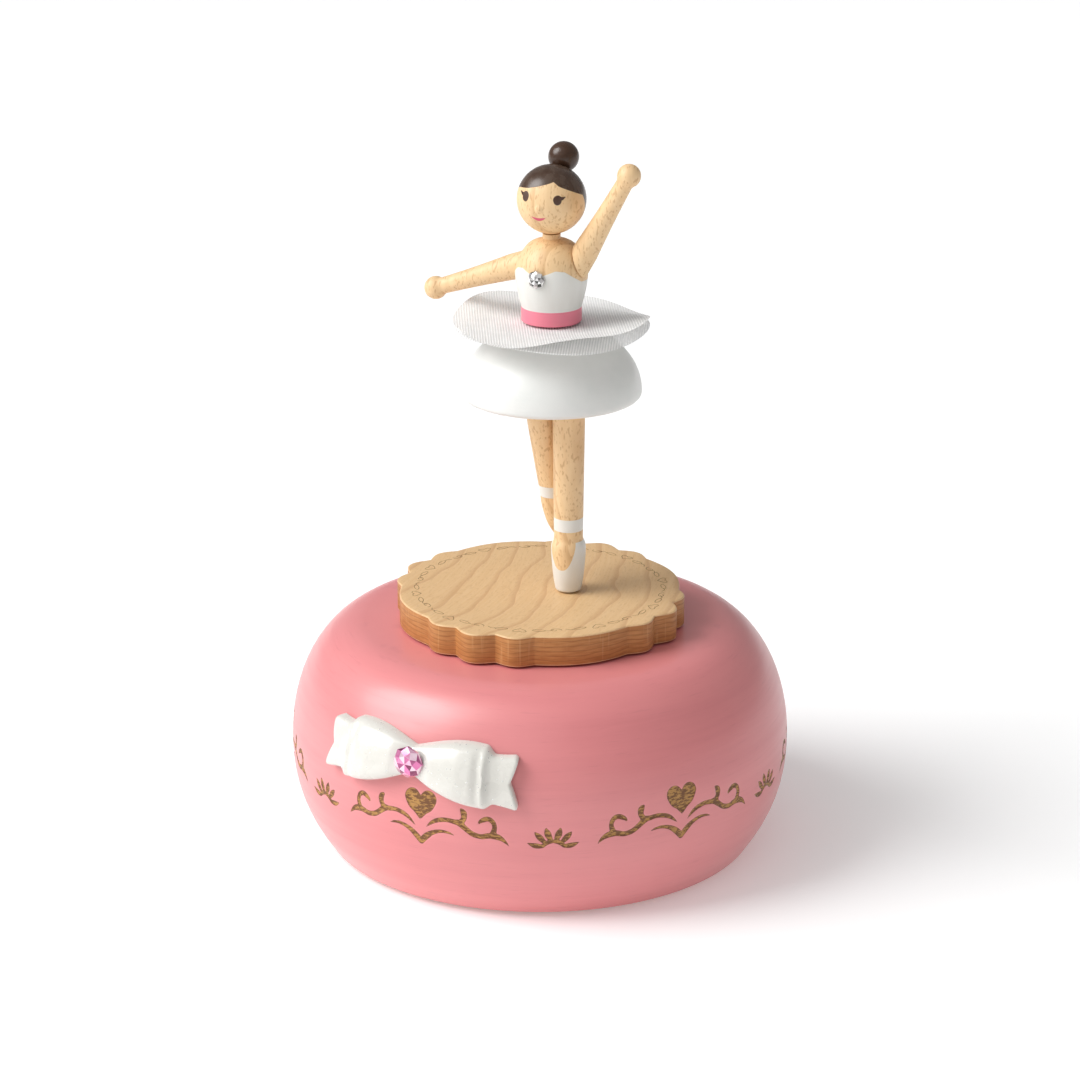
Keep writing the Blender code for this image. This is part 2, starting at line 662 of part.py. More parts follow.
def build_bedplate():
    plate = keep("bedplate", prism(plate_outline(), PLATE_Z, PLATE_TOP_Z), zinc)
    low = CYLINDER_Z - POST_HALF
    sunk = PLATE_Z + 0.5 * PLATE_THICKNESS
    fuse(plate, box(POST_X, POST_X + POST_WIDTH, -POST_HALF, POST_HALF, low, sunk))
    fuse(plate, box(OUTER_POST_X, OUTER_POST_X + POST_WIDTH, -POST_HALF, POST_HALF, low, sunk))
    rail = CYLINDER_Z + COMB_THICKNESS / 2 + GAP
    fuse(plate, box(CYLINDER_X, CYLINDER_X + CYLINDER_LENGTH, COMB_BACK_Y, COMB_ROOT_Y, rail, sunk))
    reach = OUTER_POST_X + POST_WIDTH + MM
    cut(plate, train_hole(SHAFT_RADIUS + RUN, POST_X - MM, reach, 0, CYLINDER_Z))
    holes = [rod(ARBOR_RADIUS + RUN, PLATE_Z - MM, CEILING_Z, 32)]
    for x, y in PLATE_SCREW_PLACES:
        holes.append(moved(rod(PLATE_SCREW_RADIUS + GAP, PLATE_Z - MM, CEILING_Z, 12), shift(x, y)))
    for x, y in CUP_RIVET_PLACES + GOVERNOR_SCREW_PLACES:
        holes.append(moved(rod(RIVET_RADIUS + GAP, PLATE_Z - MM, CEILING_Z, 12), shift(x, y)))
    for x, y in COMB_SCREW_PLACES:
        top = rail + COMB_SCREW_GRIP + GAP
        holes.append(moved(rod(RIVET_RADIUS + GAP, rail - MM, top, 12), shift(x, y)))
    cut(plate, together(*holes))
    head = PLATE_SCREW_RADIUS * SCREW_HEAD_SHARE
    for i, (x, y) in enumerate(PLATE_SCREW_PLACES):
        place = shift(x, y, PLATE_Z - GAP)
        bm = turned(
            [
                (0, -1.2 * MM),
                (head, -1.2 * MM),
                (head, 0),
                (PLATE_SCREW_RADIUS, 0),
                (PLATE_SCREW_RADIUS, PLATE_SCREW_LENGTH - 2 * MM),
                (0, PLATE_SCREW_LENGTH),
            ],
            16,
        )
        keep(f"bedplate_screw_{i + 1}", bm, steel, None, place)


def build_spring_cup():
    inner = CUP_RADIUS - CUP_WALL
    floor = CUP_BOTTOM_Z + CUP_WALL
    flange_z = CUP_TOP_Z - 0.8 * MM
    profile = [
        (ARBOR_RADIUS + RUN, CUP_BOTTOM_Z),
        (CUP_RADIUS, CUP_BOTTOM_Z),
        (CUP_RADIUS, flange_z),
        (CUP_RADIUS + CUP_FLANGE, flange_z),
        (CUP_RADIUS + CUP_FLANGE, CUP_TOP_Z),
        (inner, CUP_TOP_Z),
        (inner, floor),
        (ARBOR_RADIUS + RUN, floor),
    ]
    cup = keep("spring_cup", turned(profile, 32), steel)
    holes = [
        moved(rod(RIVET_RADIUS + GAP, flange_z - MM, PLATE_Z, 12), shift(x, y))
        for x, y in CUP_RIVET_PLACES
    ]
    cut(cup, together(*holes))
    for i, (x, y) in enumerate(CUP_RIVET_PLACES):
        head = 1.25 * MM
        bm = turned(
            [
                (0, flange_z - GAP - 0.6 * MM),
                (head, flange_z - GAP),
                (RIVET_RADIUS, flange_z - GAP),
                (RIVET_RADIUS, PLATE_TOP_Z),
                (0, PLATE_TOP_Z),
            ],
            12,
        )
        keep(f"cup_rivet_{i + 1}", bm, brass, None, shift(x, y))


def build_mainspring():
    """A flat strip wound from the arbor out to the cup wall."""
    start = ARBOR_RADIUS + GAP
    stop = CUP_RADIUS - CUP_WALL - GAP - SPRING_STRIP
    count = SPRING_TURNS * 10
    inner, outer = [], []
    for i in range(count + 1):
        share = i / count
        angle = 2 * pi * SPRING_TURNS * share
        radius = start + (stop - start) * share
        inner.append((radius * cos(angle), radius * sin(angle)))
        outer.append(((radius + SPRING_STRIP) * cos(angle), (radius + SPRING_STRIP) * sin(angle)))
    low = CUP_BOTTOM_Z + CUP_WALL + GAP
    keep("mainspring", prism(inner + outer[::-1], low, CUP_TOP_Z - GAP), spring_steel)


def build_comb():
    """Steel comb: eighteen tongues, longer at the bass end, in a plane through the cylinder's axis."""
    low = CYLINDER_Z - COMB_THICKNESS / 2
    high = CYLINDER_Z + COMB_THICKNESS / 2
    tip = -(CYLINDER_RADIUS + PIN_HEIGHT + COMB_TIP_CLEARANCE)
    outline = [(CYLINDER_X, COMB_BACK_Y), (CYLINDER_X + CYLINDER_LENGTH, COMB_BACK_Y)]
    for i in reversed(range(TRACKS)):
        middle = track_x(i)
        root = COMB_ROOT_Y + 3 * MM * i / TRACKS
        outline += [
            (middle + TONGUE_WIDTH / 2, root),
            (middle + TONGUE_WIDTH / 2, tip),
            (middle - TONGUE_WIDTH / 2, tip),
            (middle - TONGUE_WIDTH / 2, root),
        ]
    comb = keep("comb", prism(outline, low, high), steel)
    holes = [
        moved(rod(RIVET_RADIUS + GAP, low - MM, high + MM, 12), shift(x, y))
        for x, y in COMB_SCREW_PLACES
    ]
    cut(comb, together(*holes))
    for i, (x, y) in enumerate(COMB_SCREW_PLACES):
        head = 1.7 * MM
        bm = turned(
            [
                (0, low - GAP - 1 * MM),
                (head, low - GAP - 1 * MM),
                (head, low - GAP),
                (RIVET_RADIUS, low - GAP),
                (RIVET_RADIUS, high + GAP + COMB_SCREW_GRIP),
                (0, high + GAP + COMB_SCREW_GRIP),
            ],
            16,
        )
        keep(f"comb_screw_{i + 1}", bm, steel, None, shift(x, y))


def track_x(i):
    """Middle of a comb tongue and of its row of pins."""
    return CYLINDER_X + CYLINDER_LENGTH / 2 + (i - (TRACKS - 1) / 2) * TRACK_PITCH


def pin_angle(track, i):
    """The tune: where each pin stands round the cylinder, clear of the tongues at rest."""
    return radians(20 + (track * 77 + i * 360 / PINS_PER_TRACK + 9 * (track % 3)) % 320)


def build_cylinder(axis):
    """The pinned cylinder, in the axis's own frame, with X along the shaft."""
    start = CYLINDER_X
    shell = moved(
        washer(SHAFT_RADIUS + GAP, CYLINDER_RADIUS, 0, CYLINDER_LENGTH, 24),
        along_x(start),
    )
    cylinder = keep("cylinder", shell, brass, axis)
    pins = []
    for track in range(TRACKS):
        angles = sorted({round(pin_angle(track, i), 4) for i in range(PINS_PER_TRACK)})
        for angle in angles:
            pin = rod(PIN_RADIUS, CYLINDER_RADIUS - 0.4 * MM, CYLINDER_RADIUS + PIN_HEIGHT, 4)
            turn = Matrix.Rotation(-angle - pi / 2, 4, "X") @ Matrix.Rotation(pi, 4, "X")
            pins.append(moved(pin, shift(track_x(track)) @ turn))
    fuse(cylinder, together(*pins))
    shaft = moved(rod(SHAFT_RADIUS, 0, OUTER_POST_X + POST_WIDTH - PINION_X), along_x(PINION_X))
    keep("cylinder_shaft", shaft, steel, axis)
    # A gap of the pinion points down at a tooth of the great wheel.
    phase = pi / CYLINDER_PINION_TEETH
    pinion = prism(gear_outline(CYLINDER_PINION_TEETH, WHEEL_MODULE, phase), 0, PINION_WIDTH)
    keep_bored("cylinder_pinion", pinion, SHAFT_RADIUS + GAP, brass, axis, along_x(PINION_X))
    # A tooth of the gear points along +Y at a gap of the worm wheel's pinion.
    gear = prism(gear_outline(CYLINDER_GEAR_TEETH, TRAIN_MODULE, pi / 2), 0, GEAR_WIDTH)
    keep_bored("cylinder_gear", gear, SHAFT_RADIUS + GAP, brass, axis, along_x(GEAR_X))


def keep_bored(name, bm, radius, material, axis, place):
    """Keep a gear made along Z and bore it for its shaft."""
    thing = keep(name, bm, material, axis, place)
    cut(thing, rod(radius, -5 * MM, 5 * MM))
    return thing


def build_great_wheel(axis):
    """Crown wheel under the spring cup: its teeth stand up from the rim."""
    low = WHEEL_TOP_Z - WHEEL_THICKNESS
    rim = WHEEL_PITCH_RADIUS + WHEEL_RIM / 2
    wheel = keep("great_wheel", washer(ARBOR_RADIUS + GAP, rim, low, WHEEL_TOP_Z, WHEEL_TEETH), brass, axis)
    teeth = []
    root = 0.27 * pi * WHEEL_MODULE
    tip = 0.1 * pi * WHEEL_MODULE
    top = WHEEL_PITCH_Z + ADDENDUM * WHEEL_MODULE
    for i in range(WHEEL_TEETH):
        sunk = WHEEL_TOP_Z - 0.3 * MM
        flank = [(-root, sunk), (-root, WHEEL_TOP_Z), (-tip, top)]
        outline = flank + [(-across, up) for across, up in reversed(flank)]
        tooth = prism(outline, rim - WHEEL_RIM, rim - 0.05 * MM)
        # Drawn flat with Z as the radius: stand it up so that the outline's second value is the height.
        stand = Matrix(((0, 0, 1, 0), (1, 0, 0, 0), (0, 1, 0, 0), (0, 0, 0, 1)))
        teeth.append(moved(tooth, Matrix.Rotation(2 * pi * i / WHEEL_TEETH, 4, "Z") @ stand))
    fuse(wheel, together(*teeth))
    collar = washer(ARBOR_RADIUS + GAP, ARBOR_RADIUS + 1.9 * MM, low - GAP - COLLAR, low - GAP, 32)
    keep("drive_collar", collar, steel, axis)


def build_worm_wheel(axis):
    """Worm wheel and the small pinion that drives it, on one shaft along X."""
    phase = pi / 2 + pi / WORM_WHEEL_TEETH
    wheel = prism(gear_outline(WORM_WHEEL_TEETH, TRAIN_MODULE, phase), 0, GEAR_WIDTH)
    keep_bored("worm_wheel", wheel, SHAFT_RADIUS + GAP, plastic, axis, along_x(WORM_WHEEL_X))
    phase = -pi / 2 + pi / WORM_WHEEL_PINION_TEETH
    outline = gear_outline(WORM_WHEEL_PINION_TEETH, TRAIN_MODULE, phase)
    pinion = keep("worm_wheel_pinion", prism(outline, 0, GEAR_WIDTH), brass, axis, along_x(GEAR_X))
    fuse(pinion, rod(SHAFT_RADIUS, -CHEEK_REACH, 0.1 * MM))
    fuse(pinion, rod(SHAFT_RADIUS, GEAR_WIDTH - 0.1 * MM, OUTER_CHEEK_X + CHEEK - GEAR_X))


def build_governor_frame():
    """Cast bracket under the bedplate: foot, two cheeks for the worm wheel, an arm below the fan."""
    foot = box(FRAME_LEFT, FRAME_RIGHT, FRAME_INNER_Y, FRAME_OUTER_Y, FRAME_TOP_Z - FRAME_FOOT, FRAME_TOP_Z)
    frame = keep("governor_frame", foot, brass)
    sunk = FRAME_TOP_Z - FRAME_FOOT / 2
    edge = WORM_WHEEL_Y + 1.5 * MM
    inner_low = CYLINDER_Z - 1.5 * MM
    fuse(frame, box(FRAME_LEFT, FRAME_LEFT + 0.9 * MM, FRAME_INNER_Y, edge, inner_low, sunk))
    fuse(frame, box(OUTER_CHEEK_X, FRAME_RIGHT, FRAME_INNER_Y, edge, FRAME_ARM_Z - FRAME_ARM, sunk))
    arm_left = WORM_X - 1.6 * MM
    arm_back = WORM_Y + 1.6 * MM
    inset = 0.1 * MM
    arm_front = FRAME_INNER_Y + inset
    arm_low = FRAME_ARM_Z - FRAME_ARM + inset
    fuse(frame, box(arm_left, FRAME_RIGHT - inset, arm_front, arm_back, arm_low, FRAME_ARM_Z))
    reach = FRAME_RIGHT + MM
    cut(frame, train_hole(SHAFT_RADIUS + RUN, FRAME_LEFT - MM, reach, WORM_WHEEL_Y, CYLINDER_Z))
    pivot = WORM_SHAFT_RADIUS + RUN
    low = FRAME_ARM_Z - FRAME_ARM / 2
    high = WORM_SHAFT_TOP_Z + RUN
    holes = [moved(rod(pivot, low, high, 24), shift(WORM_X, WORM_Y))]
    for x, y in GOVERNOR_SCREW_PLACES:
        hole = rod(RIVET_RADIUS + GAP, FRAME_TOP_Z - FRAME_FOOT - MM, CEILING_Z, 12)
        holes.append(moved(hole, shift(x, y)))
    cut(frame, together(*holes))
    for i, (x, y) in enumerate(GOVERNOR_SCREW_PLACES):
        top = FRAME_TOP_Z - FRAME_FOOT - GAP
        head = 1.25 * MM
        bm = turned(
            [
                (0, top - 0.8 * MM),
                (head, top - 0.8 * MM),
                (head, top),
                (RIVET_RADIUS, top),
                (RIVET_RADIUS, PLATE_TOP_Z),
                (0, PLATE_TOP_Z),
            ],
            16,
        )
        keep(f"governor_screw_{i + 1}", bm, steel, None, shift(x, y))


def build_fan(axis):
    """Upright worm and the two-bladed air fan that holds the tune to its speed."""
    low = FRAME_ARM_Z - FRAME_ARM / 2 + RUN
    shaft = rod(WORM_SHAFT_RADIUS, low - CYLINDER_Z, WORM_SHAFT_TOP_Z - CYLINDER_Z, 20)
    worm = keep("worm_shaft", shaft, steel, axis)
    fuse(worm, worm_thread())
    # Blades on a sleeve
    top = FAN_TOP_Z - CYLINDER_Z
    bore = WORM_SHAFT_RADIUS + GAP
    core = washer(bore, WORM_SHAFT_RADIUS + 0.9 * MM, top - FAN_HEIGHT, top, 20)
    fan = keep("air_fan", core, aluminium, axis)
    for side in (-1, 1):
        blade = box(1.3 * MM, FAN_RADIUS, -0.2 * MM, 0.2 * MM, top - FAN_HEIGHT + 0.1 * MM, top - 0.1 * MM)
        fuse(fan, moved(blade, Matrix.Rotation(pi / 2 * (1 - side), 4, "Z")))


def worm_thread():
    """A right-hand thread, its ridge level with the wheel's axis where it faces the wheel."""
    pitch = pi * TRAIN_MODULE
    root = WORM_SHAFT_RADIUS - 0.15 * MM
    tip = WORM_PITCH_RADIUS + ADDENDUM * TRAIN_MODULE
    per_turn = 9
    count = WORM_TURNS * per_turn
    bm = bmesh.new()
    sections = []
    for i in range(count + 1):
        angle = -pi / 2 + 2 * pi * (i - count / 2) / per_turn
        z = pitch * (i - count / 2) / per_turn
        points = []
        for radius, offset in ((root, -0.3), (tip, -0.1), (tip, 0.1), (root, 0.3)):
            points.append(bm.verts.new((radius * cos(angle), radius * sin(angle), z + offset * pitch)))
        sections.append(points)
    for near, far in zip(sections, sections[1:]):
        for i in range(4):
            j = (i + 1) % 4
            bm.faces.new((near[i], near[j], far[j], far[i]))
    bm.faces.new(sections[0])
    bm.faces.new(sections[-1])
    bmesh.ops.recalc_face_normals(bm, faces=bm.faces)
    return bm


# The stage


def stage_radius_at(angle):
    """Four long lobes on the diagonals with three small ones between each pair."""
    turn = (angle + pi / 4) % (pi / 2) - pi / 4  # from the nearest of the four middle small lobes
    small, wide = radians(9), radians(25)
    if abs(turn) <= small:
        share, peak = (turn + small) / (2 * small), STAGE_MID_LOBE_RADIUS
    elif abs(turn) <= wide:
        share, peak = (abs(turn) - small) / (wide - small), STAGE_SIDE_LOBE_RADIUS
    else:
        share, peak = (abs(turn) - wide) / (pi / 2 - 2 * wide), STAGE_RADIUS
    return STAGE_NOTCH_RADIUS + (peak - STAGE_NOTCH_RADIUS) * max(0.0, sin(pi * share)) ** 0.7


def stage_angles():
    """Close steps at the notches, wider ones along the long lobes."""
    angles = []
    for quarter in range(4):
        middle = quarter * pi / 2
        for start, stop, steps in ((-25, -9, 5), (-9, 9, 6), (9, 25, 5), (25, 65, 8)):
            for i in range(steps):
                angles.append(middle + radians(start + (stop - start) * i / steps))
    return angles


def build_stage(axis):
    outline = [(stage_radius_at(a) * cos(a), stage_radius_at(a) * sin(a)) for a in stage_angles()]
    disc = keep("stage_disc", prism(outline, STAGE_BOTTOM_Z, STAGE_TOP_Z), maple, axis)
    flange_top = GLIDE_TOP_Z + GAP + 2 * GAP + HUB_FLANGE
    recess = [
        (0, STAGE_BOTTOM_Z - MM),
        (GLIDE_OUTER + GAP, STAGE_BOTTOM_Z - MM),
        (GLIDE_OUTER + GAP, GLIDE_TOP_Z + GAP),
        (HUB_FLANGE_RADIUS + GAP, GLIDE_TOP_Z + GAP),
        (HUB_FLANGE_RADIUS + GAP, flange_top + GAP),
        (0, flange_top + GAP),
    ]
    cut(disc, turned(recess, 36))
    holes = []
    for x, y in hub_screw_places():
        holes.append(moved(rod(0.8 * MM + GAP, flange_top, STAGE_TOP_Z - 1.2 * MM, 12), shift(x, y)))
    pin_low = STAGE_TOP_Z - FOOT_PIN_DEPTH
    pin_hole = rod(FOOT_PIN_RADIUS + GAP, pin_low - GAP, STAGE_TOP_Z + MM, 16)
    holes.append(moved(pin_hole, shift(DOLL_X + LEG_OFFSET, DOLL_Y)))
    cut(disc, together(*holes))
    keep("glide_ring", washer(GLIDE_INNER, GLIDE_OUTER, BASE_TOP_Z + GAP, GLIDE_TOP_Z, 36), felt, axis)
    build_hub(axis, flange_top)


def hub_screw_places():
    return round_points(3, HUB_SCREW_CIRCLE, radians(90))


def build_hub(axis, flange_top):
    flange_low = flange_top - HUB_FLANGE
    bottom = CEILING_Z + 1 * MM
    bore_top = bottom + HUB_BORE_DEPTH + GAP
    profile = [
        (0, flange_top),
        (HUB_FLANGE_RADIUS, flange_top),
        (HUB_FLANGE_RADIUS, flange_low),
        (HUB_RADIUS, flange_low),
        (HUB_RADIUS, bottom),
        (ARBOR_RADIUS + GAP, bottom),
        (ARBOR_RADIUS + GAP, bore_top),
        (0, bore_top),
    ]
    hub = keep("stage_hub", turned(profile, 28), brass, axis)
    holes = []
    for x, y in hub_screw_places():
        holes.append(moved(rod(0.8 * MM + GAP, flange_low - MM, flange_top + MM, 12), shift(x, y)))
    cut(hub, together(*holes))
    for i, (x, y) in enumerate(hub_screw_places()):
        top = flange_low - GAP
        bm = turned(
            [
                (0, top - 0.7 * MM),
                (1.5 * MM, top - 0.5 * MM),
                (1.5 * MM, top),
                (0.8 * MM, top),
                (0.8 * MM, flange_top + 1.4 * MM),
                (0, flange_top + 2 * MM),
            ],
            12,
        )
        keep(f"hub_screw_{i + 1}", bm, steel, axis, shift(x, y))
    arbor_low = WHEEL_TOP_Z - WHEEL_THICKNESS - GAP - COLLAR - 0.6 * MM
    keep("winding_arbor", rod(ARBOR_RADIUS, arbor_low, bottom + HUB_BORE_DEPTH, 32), steel, axis)


# The doll


def build_legs(axis):
    """Standing leg with its pointe shoe, the pin under it, and the bent leg behind."""
    sole = STAGE_TOP_Z + GAP
    top = SKIRT_Z + SOCKET_DEPTH - GAP
    profile = [
        (0, sole),
        (TOE_RADIUS - 0.5 * MM, sole),
        (TOE_RADIUS, sole + 0.5 * MM),
        (TOE_RADIUS + 0.45 * MM, sole + 3 * MM),
        (SHOE_RADIUS - 0.2 * MM, sole + 7 * MM),
        (SHOE_RADIUS, sole + 0.85 * SHOE_HEIGHT),
        (SHOE_RADIUS - 0.25 * MM, sole + SHOE_HEIGHT - 0.4 * MM),
        (ANKLE_RADIUS, sole + SHOE_HEIGHT + 0.6 * MM),
        (ANKLE_RADIUS + 0.08 * MM, sole + SHOE_HEIGHT + 7 * MM),
        (LEG_TOP_RADIUS, SKIRT_Z),
        (LEG_TOP_RADIUS, top),
        (0, top),
    ]
    place = shift(DOLL_X + LEG_OFFSET, DOLL_Y)
    leg = keep("standing_leg", turned(profile, 24), beech, axis, place)
    pin_top = sole + 5 * MM
    cut(leg, rod(FOOT_PIN_RADIUS + GAP, STAGE_TOP_Z - MM, pin_top + GAP, 16))
    pin = rod(FOOT_PIN_RADIUS, STAGE_TOP_Z - FOOT_PIN_DEPTH, pin_top, 16)
    keep("foot_pin", pin, steel, axis, place)
    hip = DOLL_X - HIP_OFFSET
    knee_to_toe = SKIRT_Z - STAGE_TOP_Z
    stations = [
        (hip - 0.2 * MM, DOLL_Y - 0.3 * MM, top, LEG_TOP_RADIUS),
        (hip + 0.1 * MM, DOLL_Y + 0.4 * MM, SKIRT_Z - 0.5 * MM, LEG_TOP_RADIUS - 0.05 * MM),
        (hip + 0.9 * MM, DOLL_Y + 2.5 * MM, SKIRT_Z - 0.28 * knee_to_toe, 0.88 * LEG_TOP_RADIUS),
        (hip + 1.65 * MM, DOLL_Y + 4.2 * MM, SKIRT_Z - 0.51 * knee_to_toe, 0.78 * LEG_TOP_RADIUS),
        (hip + 2.0 * MM, DOLL_Y + 5.0 * MM, SKIRT_Z - 0.595 * knee_to_toe, 0.8 * LEG_TOP_RADIUS),
        (hip + 2.8 * MM, DOLL_Y + 6.4 * MM, SKIRT_Z - 0.68 * knee_to_toe, 0.82 * LEG_TOP_RADIUS),
        (hip + 3.7 * MM, DOLL_Y + 8.0 * MM, SKIRT_Z - 0.75 * knee_to_toe, 0.7 * LEG_TOP_RADIUS),
        (hip + 4.3 * MM, DOLL_Y + 9.1 * MM, SKIRT_Z - 0.795 * knee_to_toe, 0.55 * LEG_TOP_RADIUS),
        (hip + 4.5 * MM, DOLL_Y + 9.5 * MM, SKIRT_Z - 0.81 * knee_to_toe, 0.3 * LEG_TOP_RADIUS),
    ]
    keep("bent_leg", swept(stations, 20), beech, axis)
    return stations


def build_skirt(axis, stations):
    top = SKIRT_Z + SKIRT_HEIGHT
    shoulder = SKIRT_HEIGHT - SKIRT_EDGE
    level = shoulder / sqrt(1 - (SKIRT_TOP_RADIUS / SKIRT_RADIUS) ** 2)
    eased = 0.3 * SKIRT_EDGE
    profile = [(0, SKIRT_Z), (SKIRT_RADIUS - SKIRT_EDGE, SKIRT_Z), (SKIRT_RADIUS - eased, SKIRT_Z + eased)]
    for i in range(8):
        rise = shoulder * sin(i / 7 * pi / 2) ** 1.15
        radius = SKIRT_RADIUS * sqrt(1 - (rise / level) ** 2)
        profile.append((radius, SKIRT_Z + SKIRT_EDGE + rise))
    profile.append((0, top))
    place = shift(DOLL_X, DOLL_Y)
    skirt = keep("skirt", turned(profile, 40), white_paint, axis, place)
    socket_top = SKIRT_Z + SOCKET_DEPTH
    sockets = [
        moved(rod(LEG_TOP_RADIUS + GAP, SKIRT_Z - MM, socket_top, 28), shift(LEG_OFFSET)),
        rod(WAIST_PEG_RADIUS + GAP, top - WAIST_PEG_DEPTH - GAP, top + MM, 20),
    ]
    cut(skirt, together(*sockets))
    wide = [(x - DOLL_X, y - DOLL_Y, z, radius + GAP) for x, y, z, radius in stations[:3]]
    wide[0] = (wide[0][0], wide[0][1], socket_top, wide[0][3])
    cut(skirt, swept(wide, 20))
    peg_low = top - WAIST_PEG_DEPTH
    peg_high = WAIST_Z + WAIST_PEG_DEPTH
    keep("waist_peg", rod(WAIST_PEG_RADIUS, peg_low, peg_high, 20), beech, axis, place)


def build_tulle(axis):
    """Two net rounds clamped between skirt and waist, as plain waved discs."""
    for name, level, turn in (("tulle_lower", 0, 0.0), ("tulle_upper", 1, radians(40))):
        low = TULLE_Z + level * (TULLE_THICKNESS + GAP)
        bm = bmesh.new()
        columns = []
        radii = (TULLE_BORE, TULLE_FLAT, 0.7 * TULLE_RADIUS, TULLE_RADIUS)
        for i in range(36):
            angle = 2 * pi * i / 36
            column = []
            for radius in radii:
                lift = max(0.0, (radius - TULLE_FLAT) / (TULLE_RADIUS - TULLE_FLAT))
                wave = TULLE_WAVE * lift * (1 + level) / 2 * sin(3 * angle + turn)
                z = low + wave + TULLE_LIFT * lift * level
                column.append((radius * cos(angle), radius * sin(angle), z))
            columns.append(column)
        sheets = [
            [[bm.verts.new((x, y, z + up)) for x, y, z in column] for column in columns]
            for up in (0, TULLE_THICKNESS)
        ]
        for near, far in [(i, (i + 1) % 36) for i in range(36)]:
            for j in range(len(radii) - 1):
                for sheet in sheets:
                    bm.faces.new((sheet[near][j], sheet[near][j + 1], sheet[far][j + 1], sheet[far][j]))
            for j in (0, -1):
                bm.faces.new((sheets[0][near][j], sheets[1][near][j], sheets[1][far][j], sheets[0][far][j]))
        keep(name, bm, net, axis, shift(DOLL_X, DOLL_Y))


def facet(side, height):
    """Centre and outward normal of a shoulder facet, from the doll's axis."""
    normal = Vector((side * cos(FACET_SLOPE), 0, sin(FACET_SLOPE)))
    centre = Vector((side * FACET_DISTANCE, 0, WAIST_Z + height))
    return centre, normal


def build_torso(axis):
    profile = [(0, WAIST_Z), (SASH_RADIUS, WAIST_Z), (SASH_RADIUS, WAIST_Z + SASH_HEIGHT)]
    for i in range(1, 5):
        share = i / 4
        radius = SASH_RADIUS + (BUST_RADIUS - SASH_RADIUS) * sin(share * pi / 2)
        profile.append((radius, WAIST_Z + SASH_HEIGHT + (BUST_HEIGHT - SASH_HEIGHT) * share))
    dome = SHOULDER_HEIGHT - BUST_HEIGHT
    for i in range(1, 6):
        angle = i / 6 * pi / 2
        radius = NECK_RADIUS + (BUST_RADIUS - NECK_RADIUS) * cos(angle)
        profile.append((radius, WAIST_Z + BUST_HEIGHT + dome * sin(angle) ** 1.1))
    profile += [
        (NECK_RADIUS, SHOULDER_Z),
        (NECK_RADIUS, NECK_TOP_Z),
        (SPIGOT_RADIUS, NECK_TOP_Z),
        (SPIGOT_RADIUS, NECK_TOP_Z + SPIGOT_LENGTH),
        (0, NECK_TOP_Z + SPIGOT_LENGTH),
    ]
    bm = turned(profile, 28)
    for side, height in ((1, LEFT_ARM_HEIGHT), (-1, RIGHT_ARM_HEIGHT)):
        centre, normal = facet(side, height)
        cut_flat(bm, centre, normal)
    place = shift(DOLL_X, DOLL_Y)
    torso = keep("torso", bm, beech, axis, place)
    holes = [rod(WAIST_PEG_RADIUS + GAP, WAIST_Z - MM, WAIST_Z + WAIST_PEG_DEPTH + GAP, 20)]
    for side, height in ((1, LEFT_ARM_HEIGHT), (-1, RIGHT_ARM_HEIGHT)):
        centre, normal = facet(side, height)
        depth = ARM_PEG_LENGTH / 2 + GAP
        stand = Matrix.Translation(centre) @ normal.to_track_quat("Z", "Y").to_matrix().to_4x4()
        holes.append(moved(rod(ARM_PEG_RADIUS + GAP, -depth, MM, 16), stand))
    cut(torso, together(*holes))
    turn = radians(3)
    out = BUST_RADIUS + GAP
    seat = shift(DOLL_X, DOLL_Y, WAIST_Z + BUST_HEIGHT - 0.1 * MM) @ Matrix.Rotation(turn, 4, "Z")
    tilt = shift(0, -out) @ Matrix.Rotation(pi / 2, 4, "X")
    keep("bodice_stone", stone(BODICE_STONE_RADIUS), clear_crystal, axis, seat @ tilt)


def arm_shape():
    """One arm along its own axis, leaning from the facet's normal, with its slanted end on Z = 0."""
    neck = ARM_LENGTH - sqrt(HAND_RADIUS**2 - WRIST_RADIUS**2) - 0.4 * MM
    profile = [(0, -5 * MM), (ARM_RADIUS, -5 * MM), (ARM_RADIUS, 3 * MM)]
    for i in range(1, 5):
        share = i / 4
        profile.append((ARM_RADIUS + (WRIST_RADIUS - ARM_RADIUS) * share, 3 * MM + (neck - 3 * MM) * share))
    start = acos((ARM_LENGTH - neck - 0.4 * MM) / HAND_RADIUS)
    for i in range(1, 7):
        angle = start + (pi - start) * i / 7
        profile.append((HAND_RADIUS * sin(angle), ARM_LENGTH - HAND_RADIUS * cos(angle)))
    profile.append((0, ARM_LENGTH + HAND_RADIUS))
    bm = moved(turned(profile, 20), Matrix.Rotation(ARM_MITRE, 4, "Y"))
    cut_flat(bm, Vector((0, 0, GAP)), Vector((0, 0, -1)))
    return bm


def build_arm(name, axis):
    arm = keep(name, arm_shape(), beech, axis)
    half = ARM_PEG_LENGTH / 2
    cut(arm, rod(ARM_PEG_RADIUS + GAP, -MM, half + GAP, 16))
    keep(f"{name}_peg", rod(ARM_PEG_RADIUS, -half, half, 16), steel, axis)


def build_arms(axis):
    """The doll's left arm is raised and the right one lowered: the same piece, turned half round."""
    for name, side, height, turn in (
        ("left_arm", 1, LEFT_ARM_HEIGHT, pi),
        ("right_arm", -1, RIGHT_ARM_HEIGHT, 0.0),
    ):
        centre, normal = facet(side, height)
        down = Vector((side * sin(FACET_SLOPE), 0, -cos(FACET_SLOPE)))
        frame = Matrix((down, normal.cross(down), normal)).transposed().to_4x4()
        place = shift(DOLL_X, DOLL_Y) @ Matrix.Translation(centre) @ frame @ Matrix.Rotation(turn, 4, "Z")
        build_arm(name, axis_empty(f"{name}_axis", place, axis))


